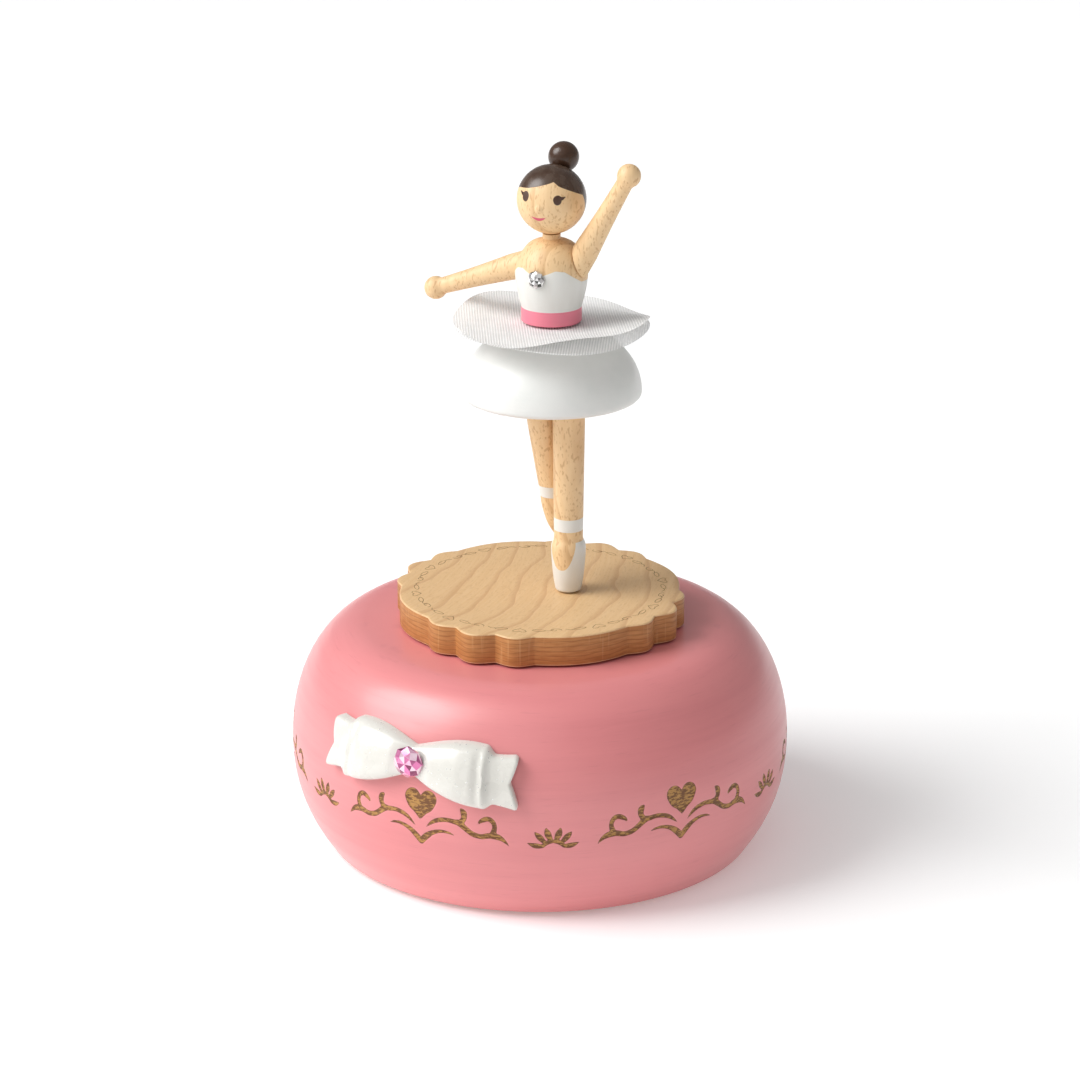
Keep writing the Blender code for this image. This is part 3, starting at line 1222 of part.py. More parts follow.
def build_head(axis):
    """Turned ball head: its own axis stands on the neck, turned and tilted a little."""
    pose = Matrix.Rotation(HEAD_TURN, 4, "Z") @ Matrix.Rotation(HEAD_TILT, 4, "Y")
    place = shift(DOLL_X, DOLL_Y, HEAD_Z) @ pose
    bm = ball(HEAD_RADIUS, sides=24, rings=14)
    level = pose.to_3x3().inverted() @ Vector((0, 0, -1))
    flat = HEAD_Z - NECK_TOP_Z - GAP
    cut_flat(bm, level * flat, level)
    head = keep("head", bm, beech, axis, place)
    spigot = rod(SPIGOT_RADIUS + GAP, -flat - MM, SPIGOT_LENGTH + GAP - flat, 16)
    cut(head, moved(spigot, pose.inverted()))
    out = Vector((0, cos(BUN_LIFT), sin(BUN_LIFT)))
    stand = out.to_track_quat("Z", "Y").to_matrix().to_4x4()
    pin_low = HEAD_RADIUS - 3 * MM
    pin_high = BUN_DISTANCE
    hole = moved(rod(BUN_PIN_RADIUS + GAP, pin_low - GAP, pin_high, 12), stand)
    cut(head, hole)
    bun = keep("bun", ball(BUN_RADIUS, out * BUN_DISTANCE, 16, 10), hair_paint, axis, place)
    cut(bun, ball(HEAD_RADIUS + GAP, sides=24, rings=14))
    cut(bun, moved(rod(BUN_PIN_RADIUS + GAP, pin_low, pin_high + GAP, 12), stand))
    keep("bun_pin", moved(rod(BUN_PIN_RADIUS, pin_low, pin_high, 12), stand), steel, axis, place)
    nose_out = Vector((0, -cos(radians(5)), -sin(radians(5)))) * (HEAD_RADIUS + GAP * 0.3)
    nose = ball(NOSE_RADIUS, nose_out, 12, 8)
    fuse(head, nose)


clear_scene()
helper_look = look("helper", (0.5, 0.5, 0.5), 0.5)
pink_paint = look("pink_stain", (0.78, 0.33, 0.37), 0.38)
plywood = look("plywood", (0.62, 0.45, 0.28), 0.6)
black_foam = look("black_foam", (0.03, 0.03, 0.03), 0.9)
steel = look("steel", (0.55, 0.55, 0.56), 0.3, 1.0)
spring_steel = look("spring_steel", (0.25, 0.27, 0.32), 0.35, 1.0)
brass = look("brass", (0.72, 0.52, 0.22), 0.3, 1.0)
zinc = look("zinc", (0.5, 0.5, 0.5), 0.45, 1.0)
aluminium = look("aluminium", (0.75, 0.75, 0.76), 0.35, 1.0)
plastic = look("plastic", (0.85, 0.82, 0.75), 0.4)
pearl_paint = look("pearl_white", (0.86, 0.85, 0.81), 0.25)
pink_crystal = look("pink_crystal", (0.85, 0.35, 0.6), 0.05)
clear_crystal = look("clear_crystal", (0.8, 0.82, 0.85), 0.05)
felt = look("felt", (0.75, 0.7, 0.62), 0.95)
maple = look("maple", (0.74, 0.52, 0.31), 0.45)
beech = look("beech", (0.72, 0.47, 0.26), 0.5)
white_paint = look("white_paint", (0.84, 0.85, 0.82), 0.4)
hair_paint = look("brown_paint", (0.09, 0.045, 0.03), 0.3)
net = look("white_net", (0.9, 0.9, 0.9), 0.8)

build_base()
build_cover()
build_bow()
build_bedplate()
build_spring_cup()
build_mainspring()
build_comb()
build_governor_frame()

turning = axis_empty("turntable_axis", shift())
build_great_wheel(turning)
build_stage(turning)
build_skirt(turning, build_legs(turning))
build_tulle(turning)
build_torso(turning)
build_head(turning)
build_arms(turning)
build_cylinder(axis_empty("cylinder_axis", shift(z=CYLINDER_Z)))
build_worm_wheel(axis_empty("worm_wheel_axis", shift(y=WORM_WHEEL_Y, z=CYLINDER_Z)))
build_fan(axis_empty("fan_axis", shift(WORM_X, WORM_Y, CYLINDER_Z)))
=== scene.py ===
"""Ballerina music box: the finished look of every piece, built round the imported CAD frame."""

from math import acos, cos, pi, radians, sin, sqrt

import bmesh
import bpy
import numpy as np
from mathutils import Matrix, Vector


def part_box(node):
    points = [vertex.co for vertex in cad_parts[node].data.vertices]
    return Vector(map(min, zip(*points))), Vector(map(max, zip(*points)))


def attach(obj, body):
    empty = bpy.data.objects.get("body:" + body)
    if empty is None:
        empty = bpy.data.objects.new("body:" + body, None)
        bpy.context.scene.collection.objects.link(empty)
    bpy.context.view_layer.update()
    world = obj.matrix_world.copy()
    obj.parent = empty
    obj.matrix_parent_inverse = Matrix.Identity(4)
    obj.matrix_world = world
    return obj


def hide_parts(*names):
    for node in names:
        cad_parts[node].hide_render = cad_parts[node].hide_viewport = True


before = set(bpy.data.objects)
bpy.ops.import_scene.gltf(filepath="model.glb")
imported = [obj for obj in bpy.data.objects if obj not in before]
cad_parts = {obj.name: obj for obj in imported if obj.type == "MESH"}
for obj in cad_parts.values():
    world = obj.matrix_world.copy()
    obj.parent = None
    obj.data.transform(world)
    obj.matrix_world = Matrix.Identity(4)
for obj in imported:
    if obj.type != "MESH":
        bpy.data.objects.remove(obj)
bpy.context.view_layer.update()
MM = 0.001
WELD = 0.002 * MM

# Base: one thick bowl of wood turned on a lathe, hollowed from below, stained pink and rubbed with lacquer.
# The hearts, scrolls and palmettes are burnt through the stain into the bare wood.
BASE_RADIUS = 60 * MM
BASE_FOOT_RADIUS = 52 * MM
BASE_EQUATOR_Z = 26 * MM
BASE_SHOULDER = 18 * MM
FOOT_CURVE = 2.3
BASE_LOW, BASE_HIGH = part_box("base_body")
BASE_BOTTOM_Z, BASE_TOP_Z = BASE_LOW.z, BASE_HIGH.z
HUB_HOLE_RADIUS = 5.2 * MM
CAVITY_RADIUS = 44 * MM
CEILING_Z = 46 * MM
REBATE_RADIUS = 49.3 * MM
REBATE_Z = 4.6 * MM
BAND_LOW_Z = 18.6 * MM
BAND_HIGH_Z = 33.4 * MM
BAND_RINGS = 44
BASE_STEPS = 1200
MOTIFS = 6
ENGRAVED_DEPTH = 0.22 * MM
ENGRAVED_WALL = 0.3 * MM
BARE_WOOD = (0.52, 0.28, 0.075)
BARE_WOOD_DARK = (0.38, 0.18, 0.04)


def lathe(profile, steps, closed=False):
    """Spin a line of (radius, height) points once round the Z axis."""
    bm = bmesh.new()
    points = [bm.verts.new((radius, 0, z)) for radius, z in profile]
    edges = [bm.edges.new(pair) for pair in zip(points, points[1:])]
    if closed:
        edges.append(bm.edges.new((points[-1], points[0])))
    bmesh.ops.spin(
        bm, geom=points + edges, cent=(0, 0, 0), axis=(0, 0, 1), angle=2 * pi, steps=steps, use_merge=True
    )
    bmesh.ops.remove_doubles(bm, verts=bm.verts, dist=WELD)
    bmesh.ops.recalc_face_normals(bm, faces=bm.faces)
    return bm


def finish_piece(name, bm, body, materials, replaces=(), sharp=40):
    """Write a shape to a named object that rides on a body of the frame."""
    mesh = bpy.data.meshes.new(name)
    bm.to_mesh(mesh)
    bm.free()
    mesh.shade_smooth()
    if sharp:
        mesh.set_sharp_from_angle(angle=radians(sharp))
    for material in materials:
        mesh.materials.append(material)
    piece = bpy.data.objects.new(name, mesh)
    bpy.context.scene.collection.objects.link(piece)
    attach(piece, body)
    if replaces:
        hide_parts(*replaces)
    return piece


def points_of(piece):
    points = np.empty(len(piece.data.vertices) * 3, np.float32)
    piece.data.vertices.foreach_get("co", points)
    return points.reshape(-1, 3).astype(float)


def mark(piece, name, values):
    """Keep a value for each point of the mesh, for the materials to read."""
    layer = piece.data.attributes.new(name, "FLOAT", "POINT")
    layer.data.foreach_set("value", np.asarray(values, np.float32))


def stroke_depth(u, v, stroke):
    """How far each point (u, v) lies inside a tapering stroke of (u, v, half width) stations."""
    depth = np.full(u.shape, -1e3)
    for (u0, v0, w0), (u1, v1, w1) in zip(stroke, stroke[1:]):
        du, dv = u1 - u0, v1 - v0
        share = np.clip(((u - u0) * du + (v - v0) * dv) / (du * du + dv * dv), 0, 1)
        gap = np.hypot(u - u0 - share * du, v - v0 - share * dv)
        depth = np.maximum(depth, w0 + (w1 - w0) * share - gap)
    return depth


def smooth_stroke(stations, parts=6):
    """Round a stroke's corners with a Catmull-Rom curve through its stations."""
    rows = [stations[0], *stations, stations[-1]]
    curve = []
    for before, start, end, after in zip(rows, rows[1:], rows[2:], rows[3:]):
        for i in range(parts):
            t = i / parts
            curve.append(tuple(
                0.5 * (
                    2 * b + (c - a) * t + (2 * a - 5 * b + 4 * c - d) * t**2
                    + (3 * b - a - 3 * c + d) * t**3
                )
                for a, b, c, d in zip(before, start, end, after)
            ))
    return curve + [stations[-1]]


# Half of one motif, in millimetres along the girth from its middle and above the floor, with half widths.
CHEVRON = [
    (0, 19.9, 0.75), (1.5, 21.5, 0.75), (3.2, 22.7, 0.55), (5.3, 23.35, 0.4), (7.35, 23.2, 0.25),
    (8.9, 22.5, 0),
]
BRANCH = [
    (1.1, 23.4, 0), (2.85, 25.1, 0.4), (4.5, 26.0, 0.55), (6.6, 26.4, 0.55), (8.6, 26.2, 0.6),
    (9.8, 26.0, 0.78),
    (11.4, 24.75, 0.65), (12.95, 23.7, 0.65), (14.9, 23.3, 0.63), (16.8, 23.7, 0.7), (18.4, 23.6, 0.78),
    (19.9, 22.9, 0.5), (21.5, 21.2, 0),
]
BUD = [(10.0, 26.2, 0.7), (10.8, 27.3, 0.65), (10.8, 28.6, 0.75), (10.2, 29.4, 0.35)]
CURL = [
    (17.6, 24.15, 0.7), (18.05, 25.8, 0.55), (17.6, 27.2, 0.55), (16.5, 27.8, 0.6), (15.3, 27.4, 0.55),
    (14.5, 26.8, 0.3), (14.3, 26.2, 0),
]
HEART = [(2.05, 30.6, 2.05), (1.5, 29.3, 1.9), (0.85, 27.7, 1.0), (0, 25.3, 0)]
HEART_MIDDLE = [(0.9, 30.2, 1.45), (0, 27.5, 0.8)]
# Half of one palmette, measured from its own middle.
PALMETTE = [
    [(0, 22.8, 0.4), (1.5, 22.4, 0.55), (2.5, 21.5, 0.45)],
    [(0.5, 22.9, 0.35), (1.25, 24.6, 0.78), (1.75, 26.3, 0)],
    [(1.9, 22.4, 0.4), (3.2, 23.9, 0.7), (4.4, 25.2, 0)],
    [(2.5, 21.5, 0.45), (4.2, 21.7, 0.65), (6.1, 22.4, 0)],
]


def base_radius_at(z):
    if z <= BASE_EQUATOR_Z:
        drop = (BASE_EQUATOR_Z - z) / (BASE_EQUATOR_Z - BASE_BOTTOM_Z)
        return BASE_RADIUS - (BASE_RADIUS - BASE_FOOT_RADIUS) * drop**FOOT_CURVE
    rise = min(1.0, (z - BASE_EQUATOR_Z) / (BASE_TOP_Z - BASE_EQUATOR_Z))
    return BASE_RADIUS - BASE_SHOULDER + BASE_SHOULDER * sqrt(1 - rise**2)


def base_profile():
    """The outer skin from the top hole down to the foot, then the inside back up to the hole."""
    heights = []
    start = acos((BAND_HIGH_Z - BASE_EQUATOR_Z) / (BASE_TOP_Z - BASE_EQUATOR_Z))
    for i in range(15):
        heights.append(BASE_EQUATOR_Z + (BASE_TOP_Z - BASE_EQUATOR_Z) * cos(start * i / 15))
    heights += [BAND_HIGH_Z - (BAND_HIGH_Z - BAND_LOW_Z) * i / BAND_RINGS for i in range(BAND_RINGS)]
    heights += [BAND_LOW_Z + (BASE_BOTTOM_Z + 0.6 * MM - BAND_LOW_Z) * i / 6 for i in range(7)]
    foot = base_radius_at(BASE_BOTTOM_Z + 0.6 * MM)
    inside = [
        (foot - 0.25 * MM, BASE_BOTTOM_Z + 0.15 * MM),
        (foot - 0.7 * MM, BASE_BOTTOM_Z),
        (REBATE_RADIUS, BASE_BOTTOM_Z),
        (REBATE_RADIUS, REBATE_Z),
        (CAVITY_RADIUS, REBATE_Z),
        (CAVITY_RADIUS, CEILING_Z - 1.5 * MM),
        (CAVITY_RADIUS - 1.5 * MM, CEILING_Z),
        (HUB_HOLE_RADIUS, CEILING_Z),
    ]
    return [(HUB_HOLE_RADIUS, BASE_TOP_Z)] + [(base_radius_at(z), z) for z in heights] + inside


def ornament_depth(points):
    """How deep inside the burnt ornament each point of the outer skin lies, in millimetres."""
    pitch = 2 * pi * BASE_RADIUS / MM / MOTIFS
    along = np.arctan2(points[:, 0], -points[:, 1]) * BASE_RADIUS / MM
    u = np.abs((along + pitch / 2) % pitch - pitch / 2)
    v = points[:, 2] / MM
    strokes = [smooth_stroke(s) for s in (CHEVRON, BRANCH, BUD, CURL, HEART)] + [HEART_MIDDLE]
    depths = [stroke_depth(u, v, stroke) for stroke in strokes]
    depths += [stroke_depth(pitch / 2 - u, v, smooth_stroke(stroke)) for stroke in PALMETTE]
    return np.max(depths, axis=0)


def add_node(tree, kind, inputs=None, **settings):
    """Add a shader node, set its settings, and link or set its inputs."""
    node = tree.nodes.new(kind)
    for key, value in settings.items():
        setattr(node, key, value)
    for key, value in (inputs or {}).items():
        if isinstance(value, bpy.types.NodeSocket):
            tree.links.new(value, node.inputs[key])
        else:
            node.inputs[key].default_value = value
    return node


def new_group(name, inputs, outputs):
    """A shader node group with named inputs and outputs: (tree, inner inputs, inner output node)."""
    tree = bpy.data.node_groups.new(name, "ShaderNodeTree")
    for label, value in inputs.items():
        kind = "NodeSocketVector" if value is None else "NodeSocketFloat"
        socket = tree.interface.new_socket(label, in_out="INPUT", socket_type=kind)
        if value is not None:
            socket.default_value = value
    for label, kind in outputs.items():
        tree.interface.new_socket(label, in_out="OUTPUT", socket_type=kind)
    return tree, tree.nodes.new("NodeGroupInput").outputs, tree.nodes.new("NodeGroupOutput")


def new_material(name):
    material = bpy.data.materials.new(name)
    material.use_nodes = True
    tree = material.node_tree
    return material, tree, tree.nodes["Principled BSDF"]


def set_shader(tree, shader, **values):
    """Set or link the shader's own sockets: base_color= for Base Color, and so on."""
    for key, value in values.items():
        socket = shader.inputs[key.replace("_", " ").title()]
        if isinstance(value, bpy.types.NodeSocket):
            tree.links.new(value, socket)
        else:
            socket.default_value = value


def blend_colours(tree, share, first, second, mode="MIX"):
    node = tree.nodes.new("ShaderNodeMix")
    node.data_type = "RGBA"
    node.blend_type = mode
    for index, value in ((0, share), (6, first), (7, second)):
        if isinstance(value, bpy.types.NodeSocket):
            tree.links.new(value, node.inputs[index])
        else:
            node.inputs[index].default_value = (*value, 1) if index and len(value) == 3 else value
    return node.outputs[2]


def ramp(tree, value, low, high, out_low=0.0, out_high=1.0):
    """Map a value between two ends smoothly on to another pair."""
    node = add_node(
        tree, "ShaderNodeMapRange",
        {"Value": value, "From Min": low, "From Max": high, "To Min": out_low, "To Max": out_high},
        interpolation_type="SMOOTHSTEP",
    )
    return node.outputs["Result"]


def maths(tree, operation, first, second=0.0):
    node = add_node(tree, "ShaderNodeMath", {0: first, 1: second}, operation=operation)
    return node.outputs[0]


def placed(tree, scale=(1, 1, 1), turn=(0, 0, 0), shift=(0, 0, 0)):
    """The piece's own coordinates, stretched, turned and shifted, in units of a metre."""
    where = tree.nodes.new("ShaderNodeTexCoord").outputs["Object"]
    inputs = {"Vector": where, "Scale": scale, "Rotation": turn, "Location": shift}
    return add_node(tree, "ShaderNodeMapping", inputs).outputs["Vector"]


def noise(tree, vector, scale, detail=2.0, rough=0.5):
    inputs = {"Vector": vector, "Scale": scale, "Detail": detail, "Roughness": rough}
    return add_node(tree, "ShaderNodeTexNoise", inputs).outputs["Fac"]


def bumped(tree, height, distance, strength=1.0):
    node = add_node(tree, "ShaderNodeBump", {"Height": height, "Distance": distance, "Strength": strength})
    return node.outputs["Normal"]


def wood_grain_group():
    """Growth rings, fine fibre and short dark flecks of a close-grained pale wood."""
    tree, given, out = new_group(
        "wood grain",
        {"Vector": None, "Ring Scale": 120.0, "Ring Waver": 2.0, "Fibre Scale": 900.0, "Fleck Scale": 1300.0},
        {"Rings": "NodeSocketFloat", "Fibre": "NodeSocketFloat", "Flecks": "NodeSocketFloat"},
    )
    waver = add_node(tree, "ShaderNodeTexNoise", {"Vector": given["Vector"], "Scale": 28.0, "Detail": 2.0})
    swing = maths(tree, "MULTIPLY", waver.outputs["Fac"], given["Ring Waver"])
    split = add_node(tree, "ShaderNodeSeparateXYZ", {"Vector": given["Vector"]})
    across = maths(tree, "MULTIPLY", split.outputs["X"], given["Ring Scale"])
    phase = maths(tree, "FRACT", maths(tree, "ADD", across, swing))
    late = ramp(tree, phase, 0.72, 0.96)
    early = ramp(tree, phase, 0.97, 1.0, 1.0, 0.0)
    rings = maths(tree, "MULTIPLY", late, early)
    long_way = add_node(tree, "ShaderNodeMapping", {"Vector": given["Vector"], "Scale": (1, 0.5, 0.06)})
    fibre = add_node(
        tree, "ShaderNodeTexNoise",
        {
            "Vector": long_way.outputs["Vector"], "Scale": given["Fibre Scale"], "Detail": 3.0,
            "Roughness": 0.6,
        },
    )
    short_way = add_node(tree, "ShaderNodeMapping", {"Vector": given["Vector"], "Scale": (1, 1, 0.3)})
    fleck = add_node(
        tree, "ShaderNodeTexNoise",
        {"Vector": short_way.outputs["Vector"], "Scale": given["Fleck Scale"], "Detail": 1.0},
    )
    flecks = ramp(tree, fleck.outputs["Fac"], 0.56, 0.68)
    tree.links.new(rings, out.inputs["Rings"])
    tree.links.new(fibre.outputs["Fac"], out.inputs["Fibre"])
    tree.links.new(flecks, out.inputs["Flecks"])
    return tree


wood_grain = wood_grain_group()


def grained(tree, vector, **values):
    node = add_node(tree, "ShaderNodeGroup", node_tree=wood_grain)
    tree.links.new(vector, node.inputs["Vector"])
    for key, value in values.items():
        node.inputs[key.replace("_", " ").title()].default_value = value
    return node.outputs


def make_pink_stain():
    """Stain over turned wood: level streaks, paler where rubbed, bare wood in the ornament with painted shade
    along the inside of its edges.
    """
    material, tree, shader = new_material("pink stained wood")
    streaks = noise(tree, placed(tree, (9, 9, 260)), 1.0, detail=5.0, rough=0.62)
    cloud = noise(tree, placed(tree, (22, 22, 30)), 1.0, detail=3.0)
    pores = noise(tree, placed(tree, (160, 160, 2600)), 1.0)
    pink = blend_colours(tree, ramp(tree, streaks, 0.3, 0.72), (0.77, 0.258, 0.265), (0.72, 0.232, 0.242))
    pink = blend_colours(tree, ramp(tree, cloud, 0.35, 0.7, 0.0, 0.35), pink, (0.79, 0.30, 0.305))
    pink = blend_colours(tree, ramp(tree, pores, 0.6, 0.75, 0.0, 0.16), pink, (0.50, 0.15, 0.17))
    grain = grained(tree, placed(tree), ring_scale=300.0, fibre_scale=700.0, fleck_scale=1.0)
    dark = noise(tree, placed(tree, (700, 700, 2000)), 1.0, detail=3.0, rough=0.7)
    bare = blend_colours(tree, grain["Fibre"], BARE_WOOD, BARE_WOOD_DARK)
    bare = blend_colours(tree, ramp(tree, dark, 0.44, 0.54, 0.0, 0.95), bare, (0.15, 0.055, 0.014))
    depth = add_node(tree, "ShaderNodeAttribute", attribute_name="ornament").outputs["Fac"]
    # Painted shade: just inside the edge of each engraved stroke the bare wood turns dark, standing in for
    # the shade of the recess wall.
    recess_edge_shade = ramp(tree, depth, 0.02, 0.2, 0.75, 0.0)
    bare = blend_colours(tree, recess_edge_shade, bare, (0.15, 0.05, 0.02))
    inside = ramp(tree, depth, -0.03, 0.03)
    colour = blend_colours(tree, inside, pink, bare)
    rough = ramp(tree, streaks, 0.2, 0.8, 0.30, 0.40)
    rough = maths(tree, "ADD", rough, maths(tree, "MULTIPLY", inside, 0.35))
    height = maths(tree, "ADD", maths(tree, "MULTIPLY", streaks, 0.6), maths(tree, "MULTIPLY", pores, 0.4))
    set_shader(
        tree, shader, base_color=colour, roughness=rough, normal=bumped(tree, height, 0.03 * MM),
        coat_weight=0.25, coat_roughness=0.22,
    )
    return material


base = finish_piece(
    "base_turned", lathe(base_profile(), BASE_STEPS, closed=True), "case", [make_pink_stain()],
    ["base_body"], sharp=50,
)
skin = points_of(base)
girth = np.hypot(skin[:, 0], skin[:, 1])
outside = (girth > REBATE_RADIUS + MM) & (skin[:, 2] > BASE_BOTTOM_Z + MM)
ornament = np.where(outside, ornament_depth(skin), -5.0)
mark(base, "ornament", ornament)
share = np.clip(ornament * MM / ENGRAVED_WALL, 0, 1)
sunk = ENGRAVED_DEPTH * share * share * (3 - 2 * share)
skin[:, 0] -= sunk * skin[:, 0] / girth
skin[:, 1] -= sunk * skin[:, 1] / girth
base.data.vertices.foreach_set("co", skin.astype(np.float32).ravel())
base.data.update()

# Bow: cast in resin to the round of the base, sprayed pearl white with fine glitter, and glued on.
# Two puffed loops fold under at their ends, and the flat tails flare from behind them.
BOW_Z = 39.7 * MM
BOW_TURN = radians(-2)
BOW_KNOT_HALF = 2.8 * MM
BOW_LOOP_HALF = 6.8 * MM
BOW_LOOP_END = 18.4 * MM
BOW_TAIL_END = 26.6 * MM
BOW_TAIL_HALF = 6.1 * MM
BOW_NOTCH = 2.1 * MM
BOW_CORNER = 1.0 * MM
BOW_DROOP = 2.4 * MM
BOW_TILT = 0.5 * MM
BOW_EDGE = 1.9 * MM
GLUE_LINE = 0.3 * MM


def bow_half_height(s):
    if s < BOW_LOOP_END:
        share = sin(min(1, s / (0.9 * BOW_LOOP_END)) * pi / 2)
        return BOW_KNOT_HALF + (BOW_LOOP_HALF - BOW_KNOT_HALF) * share
    share = (s - BOW_LOOP_END) / (BOW_TAIL_END - BOW_LOOP_END)
    step = min(1, share / 0.3)
    step = step * step * (3 - 2 * step)
    return (BOW_LOOP_HALF + (0.85 * BOW_TAIL_HALF - BOW_LOOP_HALF) * step) + 0.15 * BOW_TAIL_HALF * share**2


def bow_thickness(s):
    stations = [0, 0.04, 0.2, 0.45, 0.58, 0.64, 0.69, 0.74, 0.82, 1.0]
    heights = [2.2, 2.3, 3.6, 4.2, 4.0, 3.3, 3.8, 2.7, 2.4, 2.8]
    return float(np.interp(s / BOW_TAIL_END, stations, heights)) * MM


def bow_place(side, share, height, front):
    corner = max(0.0, (abs(height) - 0.8) / 0.2)
    reach = BOW_TAIL_END - BOW_NOTCH * (1 - abs(height)) ** 1.2 - BOW_CORNER * corner**3
    fold = BOW_LOOP_END / BOW_TAIL_END
    s = share * BOW_TAIL_END
    if share > fold:
        s = BOW_LOOP_END + (share - fold) / (1 - fold) * (reach - BOW_LOOP_END)
    z = BOW_Z + bow_half_height(s) * height - (BOW_DROOP + side * BOW_TILT) * s / BOW_TAIL_END
    radius = base_radius_at(z) + GLUE_LINE
    if front:
        crown = sqrt(max(0.0, 1 - abs(height) ** 3.2))
        if share > fold:
            crown *= 0.55 + 0.45 * abs(height)
        radius += BOW_EDGE + (bow_thickness(s) - BOW_EDGE) * crown
    angle = BOW_TURN + side * s / (BASE_RADIUS + BOW_EDGE)
    return (radius * sin(angle), -radius * cos(angle), z)


def make_pearl():
    material, tree, shader = new_material("pearl with glitter")
    cells = add_node(
        tree, "ShaderNodeTexVoronoi", {"Vector": placed(tree), "Scale": 2400.0, "Randomness": 1.0}
    )
    pick = add_node(tree, "ShaderNodeSeparateColor", {"Color": cells.outputs["Color"]}).outputs["Red"]
    middle = ramp(tree, cells.outputs["Distance"], 0.25, 0.45, 1.0, 0.0)
    glint = maths(tree, "MULTIPLY", ramp(tree, pick, 0.93, 0.95), middle)
    cloud = noise(tree, placed(tree), 240.0, detail=3.0)
    pearl = blend_colours(tree, cloud, (0.70, 0.685, 0.63), (0.78, 0.765, 0.71))
    colour = blend_colours(tree, glint, pearl, (1.0, 1.0, 1.0))
    orange_peel = noise(tree, placed(tree), 900.0)
    height = maths(tree, "ADD", orange_peel, maths(tree, "MULTIPLY", glint, 1.5))
    set_shader(
        tree, shader, base_color=colour, roughness=ramp(tree, cloud, 0.2, 0.8, 0.22, 0.34),
        metallic=maths(tree, "MULTIPLY", glint, 0.7), normal=bumped(tree, height, 0.03 * MM),
        coat_weight=0.6, coat_roughness=0.12, sheen_weight=0.15,
    )
    return material


bm = bmesh.new()
bmesh.ops.create_grid(bm, x_segments=108, y_segments=26, size=1)
sheet = list(bm.verts)
raised = bmesh.ops.extrude_face_region(bm, geom=list(bm.faces), use_keep_orig=True)["geom"]
front_points = {item for item in raised if isinstance(item, bmesh.types.BMVert)}
for vert in bm.verts:
    x, y = vert.co.x, vert.co.y
    vert.co = bow_place(1 if x >= 0 else -1, abs(x), y, vert in front_points)
bmesh.ops.smooth_vert(
    bm, verts=list(front_points), factor=0.5, use_axis_x=True, use_axis_y=True, use_axis_z=True
)
bmesh.ops.recalc_face_normals(bm, faces=bm.faces)
finish_piece("bow_moulded", bm, "case", [make_pearl()], ["bow"], sharp=60)

# Cut stones: foil-backed crystals, pink in the bow's knot and clear on the bodice, set flat down in glue.
# Eight kite facets, sixteen girdle facets and a table, each coloured with its own painted reflection, from
# dark to light by turns.
BOW_STONE_RADIUS = 3.8 * MM
BODICE_STONE_RADIUS = 2.1 * MM
STONE_SIDES = 8


def cut_stone(radius, place):
    bm = bmesh.new()
    levels = ((1.0, 0.0, 0), (1.0, 0.14, 0), (0.8, 0.36, 0.5), (0.52, 0.52, 0))
    loops = []
    for wide, high, turn in levels:
        turned = Matrix.Rotation(turn * 2 * pi / STONE_SIDES, 4, "Z")
        stand = Matrix.Translation((0, 0, high * radius)) @ turned
        ring = bmesh.ops.create_circle(bm, segments=STONE_SIDES, radius=wide * radius, matrix=stand)["verts"]
        loops.append([edge for edge in bm.edges if all(vert in ring for vert in edge.verts)])
    for low, high in zip(loops, loops[1:]):
        bmesh.ops.bridge_loops(bm, edges=low + high)
    bmesh.ops.contextual_create(bm, geom=loops[0])
    table = bmesh.ops.contextual_create(bm, geom=loops[-1])["faces"]
    bmesh.ops.triangulate(bm, faces=[face for face in bm.faces if len(face.verts) == 4])
    bmesh.ops.poke(bm, faces=table)
    bmesh.ops.recalc_face_normals(bm, faces=bm.faces)
    bmesh.ops.transform(bm, matrix=place, verts=bm.verts)
    return bm


def make_crystal(name, dark, middle, painted_glint):
    material, tree, shader = new_material(name)
    # Painted reflection: each facet's colour is set between the dark, middle and glint tones to stand in for
    # the light and dark it reflects.
    facet_reflection = add_node(tree, "ShaderNodeAttribute", attribute_name="facet_reflection").outputs["Fac"]
    shimmer = noise(tree, placed(tree), 700.0, detail=1.0)
    value = maths(tree, "ADD", maths(tree, "MULTIPLY", facet_reflection, 0.8), maths(tree, "MULTIPLY", shimmer, 0.2))
    colour = blend_colours(tree, ramp(tree, value, 0.15, 0.5), dark, middle)
    colour = blend_colours(tree, ramp(tree, value, 0.5, 0.8), colour, painted_glint)
    set_shader(
        tree, shader, base_color=colour, roughness=ramp(tree, shimmer, 0.2, 0.8, 0.03, 0.09), metallic=0.55,
        coat_weight=1.0, coat_roughness=0.02,
    )
    return material


def set_stone(name, radius, place, body, material, node):
    piece = finish_piece(name, cut_stone(radius, place), body, [material], [node], sharp=5)
    # Painted reflection: each face gets a fixed spread-out value, which the crystal material turns into a
    # light or dark tone.
    layer = piece.data.attributes.new("facet_reflection", "FLOAT", "FACE")
    layer.data.foreach_set("value", [(i * 0.618034 + 0.3) % 1.0 for i in range(len(piece.data.polygons))])


back_y = -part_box("bow_stone")[1].y
bow_stone_place = (
    Matrix.Rotation(BOW_TURN, 4, "Z")
    @ Matrix.Translation((0, -back_y, BOW_Z))
    @ Matrix.Rotation(pi / 2, 4, "X")
)
set_stone(
    "bow_crystal", BOW_STONE_RADIUS, bow_stone_place, "case",
    make_crystal("pink crystal", (0.22, 0.02, 0.10), (0.86, 0.22, 0.50), (1.0, 0.74, 0.86)),
    "bow_stone",
)
gem_low, gem_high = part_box("bodice_stone")
gem_centre = (gem_low + gem_high) / 2
gem_place = (
    Matrix.Translation((gem_centre.x, gem_high.y, gem_centre.z))
    @ Matrix.Rotation(radians(3), 4, "Z") @ Matrix.Rotation(pi / 2, 4, "X")
)
set_stone(
    "bodice_crystal", BODICE_STONE_RADIUS, gem_place, "turntable",
    make_crystal("clear crystal", (0.03, 0.035, 0.03), (0.42, 0.40, 0.40), (1.0, 1.0, 1.0)),
    "bodice_stone",
)

